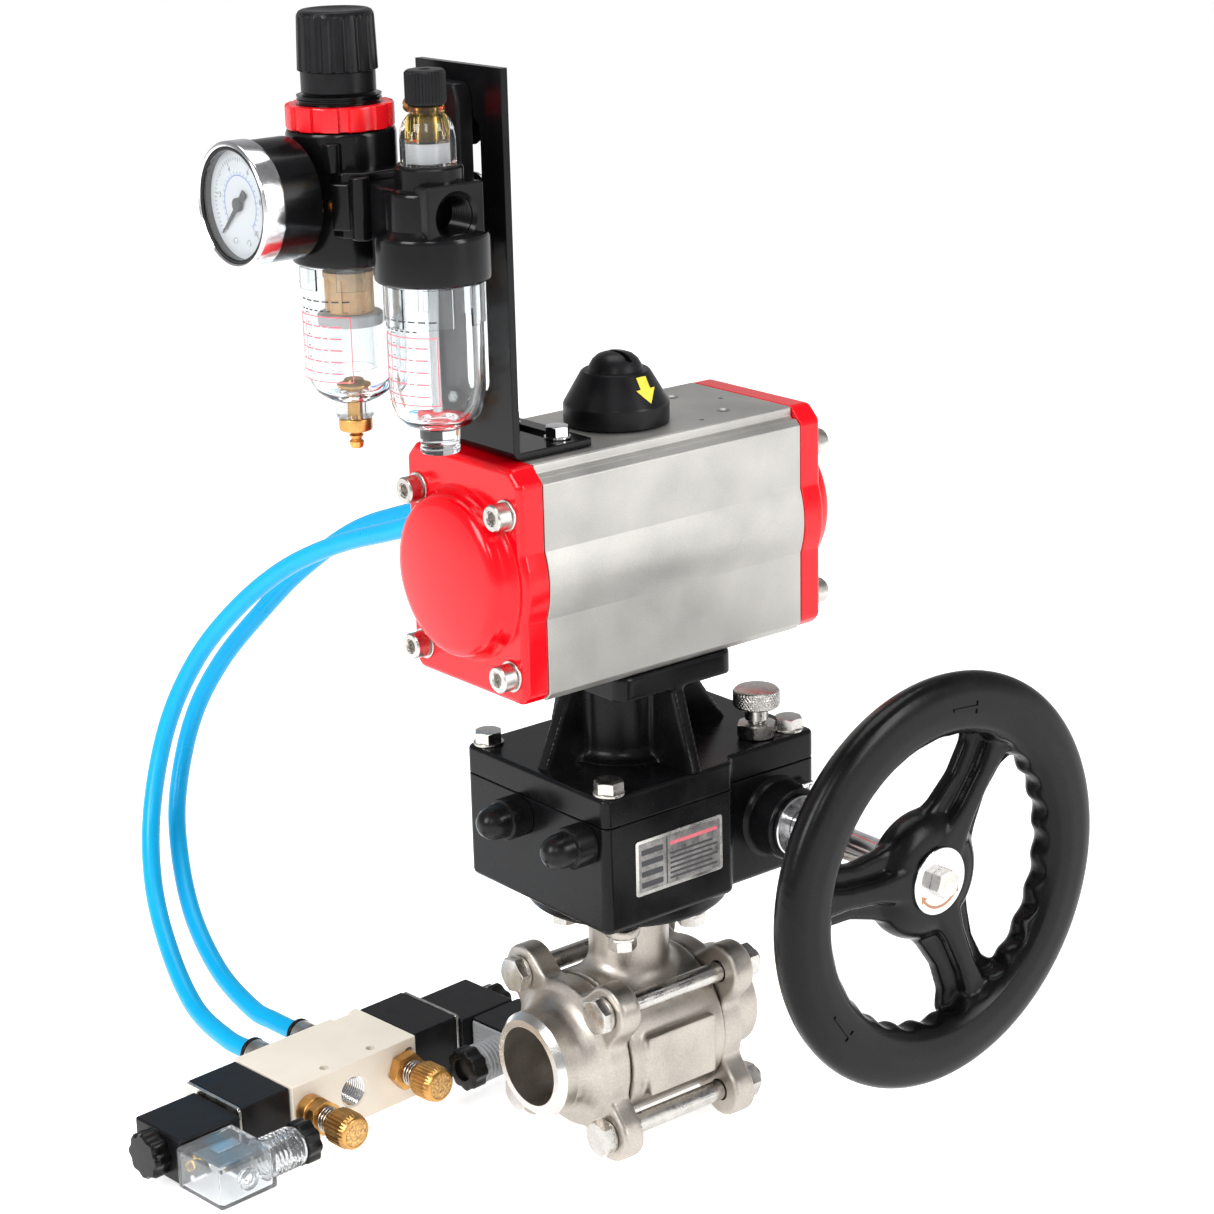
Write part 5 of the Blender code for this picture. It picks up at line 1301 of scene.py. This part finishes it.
def solenoid_end(side, word):
    def span(a, b):
        return sorted((side * a, side * b))

    low, high = span(32.3, 55.6)
    pilot = block((-17.5, low, 0), (17.5, high, 26.6), 0.7)
    show_on_valve(pilot, f"{word}_pilot_body", "plastic", [f"{word}_pilot"])
    low, high = span(55.7, 57.1)
    plate = prism(rectangle((-17.4, 0.3), (17.4, 26.7), 1.6), "Y", low, high, (0.3, 0.3))
    show_on_valve(plate, f"{word}_steel_plate", "bolt")
    low, high = span(57.3, 86.0)
    coil = block((-11, low, 5.0), (19, high, 24.6), 1.1)
    cap = [(0, side * 85.0), (8.9, side * 85.0), (8.9, side * 87.0), (9.2, side * 87.4),
           (9.2, side * 92.0), (8.2, side * 93.4), (0, side * 93.6)]
    show_on_valve(coil, f"{word}_coil_case", "plastic", [f"{word}_coil"])
    show_on_valve(turned(cap, "Y", (3, 15), 96, lobed(8, 0.55)), f"{word}_coil_nut", "rubber",
                  angle=50)

    # plug, gland and gland nut
    low, high = span(62.0, 89.0)
    clear = side < 0
    plug = block((19.3, low, 6.5), (47.3, high, 23.5), 1.5)
    cut(plug, block((20.8, low + 1.8, 8.0), (45.6, high - 1.8, 22.0), 0.8))
    gland = [(5.4, 63.9), (8.0, 63.9), (8.0, 62.5)]
    for k in range(7):
        y = 61.6 - 2.0 * k
        gland += [(8.0, y), (8.2, y - 0.3), (8.2, y - 1.0), (7.6, y - 1.3), (7.6, y - 1.8)]
    gland += [(7.6, 46.6), (5.4, 46.6)]
    neck = turned(mirrored(gland, side), "Y", GLAND, 64)
    look = "frosted" if clear else "smoke"
    show_on_valve(plug, f"{word}_plug_case", look, [f"{word}_connector"], angle=42)
    show_on_valve(neck, f"{word}_gland", look, angle=42)
    tip = [(0, 46.4), (8.0, 46.4), (8.6, 45.8), (8.6, 40.2), (7.8, 39.5), (4.6, 39.5), (4.6, 41.5),
           (0, 41.5)]
    show_on_valve(turned(mirrored(tip, side), "Y", GLAND, 96, lobed(9, 0.45)),
         f"{word}_gland_nut", "rubber", angle=50)
    low, high = span(62.6, 88.4)
    gasket = prism(rectangle((low, 7.0), (high, 23.0), 1.0), "X", 19.02, 19.28)
    show_on_valve(gasket, f"{word}_gasket", "rubber")
    middle = side * PLUG_SCREW_Y
    screw = ring(2.6, 4.3, 44.0, 48.0, "X", (middle, 15.0), 48, edge=0.5)
    show_on_valve(screw, f"{word}_screw_boss", look)
    head = rod(2.5, 22.0, 46.6, "X", (middle, 15.0), 40, edge=0.4)
    cross = [block((45.9, middle - half_y, 15 - half_z), (48, middle + half_y, 15 + half_z), 0.1)
             for half_y, half_z in ((1.7, 0.35), (0.35, 1.7))]
    show_on_valve(cut(head, *cross), f"{word}_plug_screw", "zinc")
    if clear:
        board_low, board_high = span(66.0, 84.0)
        parts = [block((24.0, board_low, 19.4), (40.0, board_high, 20.4), 0.3),
                 block((22.0, span(66.5, 71.0)[0], 9.0), (36.0, span(66.5, 71.0)[1], 18.0), 0.6)]
        show_on_valve(gather(*parts), "plug_board", "board")
        bits = [block((27.0, span(68.0, 79.0)[0], 20.5), (33.0, span(68.0, 79.0)[1], 21.6), 0.3),
                rod(1.6, *span(80.5, 86.5), "Y", (27.0, 12.5), 24, edge=0.4),
                rod(1.6, *span(66.0, 69.5), "Y", (41.0, 11.5), 24, edge=0.4)]
        show_on_valve(gather(*bits), "plug_terminals", "zinc")
        lamp = rod(2.0, *span(84.5, 87.2), "Y", (25.5, 17.0), 24, edge=0.6)
        show_on_valve(lamp, "plug_lamp", "amber")
    else:
        top = prism(rectangle((19.6, span(62.5, 88.5)[0]), (46.9, span(62.5, 88.5)[1]), 1.2), "Z",
                    23.3, 24.3, (0, 0.3))
        show_on_valve(top, "rear_plug_cover", "plastic")


def silencer(side, word, start, long_body):
    centre = (side * SILENCER_Y, SILENCER_Z)
    parts = []
    if long_body:
        parts.append(rod(6.6, 19.02, 24.2, "X", centre, 56, edge=0.6))
        parts.append(rod(6.0, 24.0, 26.2, "X", centre, 48))
        parts.append(nut(13, "X", centre, 26.0, 30.0, turn=20))
        first = 30.0
    else:
        parts.append(nut(14, "X", centre, 19.02, 24.0, turn=8))
        first = 24.0
    body = join(parts[0], *parts[1:])
    cut(body, rod(3.3, 5.0, 60.0, "X", centre, 32))
    show_on_valve(body, f"{word}_silencer_body", "brass", angle=32)
    coil = spring(4.9, 0.42, first + 0.5, start - 0.5, 3.2, "X", centre)
    show_on_valve(coil, f"{word}_silencer_spring", "bolt")
    profile = [(0, 8.0), (3.0, 8.0), (3.0, start), (5.6, start), (6.6, start + 0.8),
               (7.1, start + 2.0), (7.2, start + 2.4), (7.2, start + 9.8), (7.1, start + 10.2),
               (6.7, start + 12.2), (5.9, start + 13.0), (5.4, start + 13.0), (5.2, start + 12.6),
               (0, start + 12.6)]
    head = turned(profile, "X", centre, 240, knurl(30, 0.32, start + 2.2, start + 10.0))
    show_on_valve(head, f"{word}_silencer_knob", "brass", [f"{word}_silencer_head"],
         f"{word}_silencer_head", angle=48)
    grain = [(0, start + 12.4), (5.25, start + 12.4), (5.2, start + 12.9), (4.2, start + 13.15),
             (0, start + 13.2)]
    show_on_valve(turned(grain, "X", centre, 48), f"{word}_sintered_face", "sinter",
                  body=f"{word}_silencer_head")


def tube_fitting(name, node, face, thread_end, y, z, place):
    """A push-in fitting: thread, hexagon, sleeve and its black release collar."""
    centre = (y, z)
    body = nut(12.5, "X", centre, face - 5.4, face - 0.3, turn=30)
    join(body, rod(4.9, face - 3.0, thread_end, "X", centre, 40))
    join(body, rod(6.0, face - 12.6, face - 5.0, "X", centre, 56, edge=0.5))
    show(body, name, "bolt", [node], place=place, angle=32)
    collar = ring(4.1, 6.3, face - 14.6, face - 12.7, "X", centre, 56, edge=0.6)
    show(collar, f"{name}_collar", "rubber", place=place)


def solenoid_valve():
    solenoid_block()
    for side, word in ENDS:
        solenoid_end(side, word)
        tube_fitting(f"{word}_valve_push_fitting", f"{word}_valve_fitting", -19.0, -12.0,
                     side * OUTPUT_Y, OUTPUT_Z, SOLENOID_FRAME)
        tube_fitting(f"{word}_actuator_push_fitting", f"{word}_actuator_fitting", -36.4, -32.5,
                     side * 12.0, ACT_Z, STEM_FRAME)
    silencer(-1, "front", 36.0, True)
    silencer(1, "rear", 30.0, False)


# ---------------------------------------------------------------- stage

def area_light(name, place, aim, size, power):
    data = bpy.data.lights.new(name, "AREA")
    data.shape = "RECTANGLE"
    data.size, data.size_y = size
    data.energy = power
    light = add_object(name, data)
    light.location = place
    light.rotation_euler = (Vector(aim) - Vector(place)).to_track_quat("-Z", "Y").to_euler()


def studio():
    bm = bmesh.new()
    bmesh.ops.create_grid(bm, x_segments=1, y_segments=1, size=40.0)
    floor = store(bm)
    floor.name = "floor"
    floor.location.z = -0.0005
    floor.data.materials.append(make_look("floor_white", (0.93, 0.93, 0.93), 0.8, 0.0, 50, 0.0, 0.0,
                                          5, 0.02, sockets={"Emission Color": (1, 1, 1, 1),
                                                            "Emission Strength": 0.68}))
    world = bpy.data.worlds.new("studio")
    world.use_nodes = True
    tree = world.node_tree
    background = tree.nodes["Background"]
    place = add_node(tree, "ShaderNodeTexCoord")
    split = add_node(tree, "ShaderNodeSeparateXYZ")
    ramp = add_node(tree, "ShaderNodeValToRGB")
    ramp.color_ramp.elements[0].position = 0.05
    ramp.color_ramp.elements[0].color = (0.75, 0.75, 0.76, 1)
    ramp.color_ramp.elements[1].position = 0.7
    ramp.color_ramp.elements[1].color = (0.32, 0.32, 0.33, 1)
    tree.links.new(place.outputs["Generated"], split.inputs[0])
    tree.links.new(split.outputs["Z"], ramp.inputs["Fac"])
    tree.links.new(ramp.outputs["Color"], background.inputs["Color"])
    background.inputs["Strength"].default_value = 0.8
    bpy.context.scene.world = world
    middle = (0, 0, 0.22)
    area_light("key_light", (0.1, -1.5, 1.2), middle, (0.7, 0.9), 24.0)
    area_light("side_light", (1.7, 0.7, 0.9), middle, (0.5, 1.2), 18.0)
    area_light("top_light", (-0.2, 0.2, 1.9), middle, (1.2, 1.2), 16.0)
    area_light("front_light", (1.5, -1.3, 1.6), middle, (0.5, 0.5), 8.0)
    bpy.context.scene.view_settings.view_transform = "Standard"


for side, word in ENDS:
    end_cap(side, word)
bolt_places = [(x, z) for z in (TIE, -TIE) for x in (-TIE, TIE)]
for number, (x, z) in enumerate(bolt_places, 1):
    tie_bolt(number, x, z)
valve_body()
gearbox()
worm_drive()
lock_knob()
handwheel()
actuator()
indicator()
bracket()
regulator()
gauge()
filter_unit()
lubricator()
solenoid_valve()
studio()
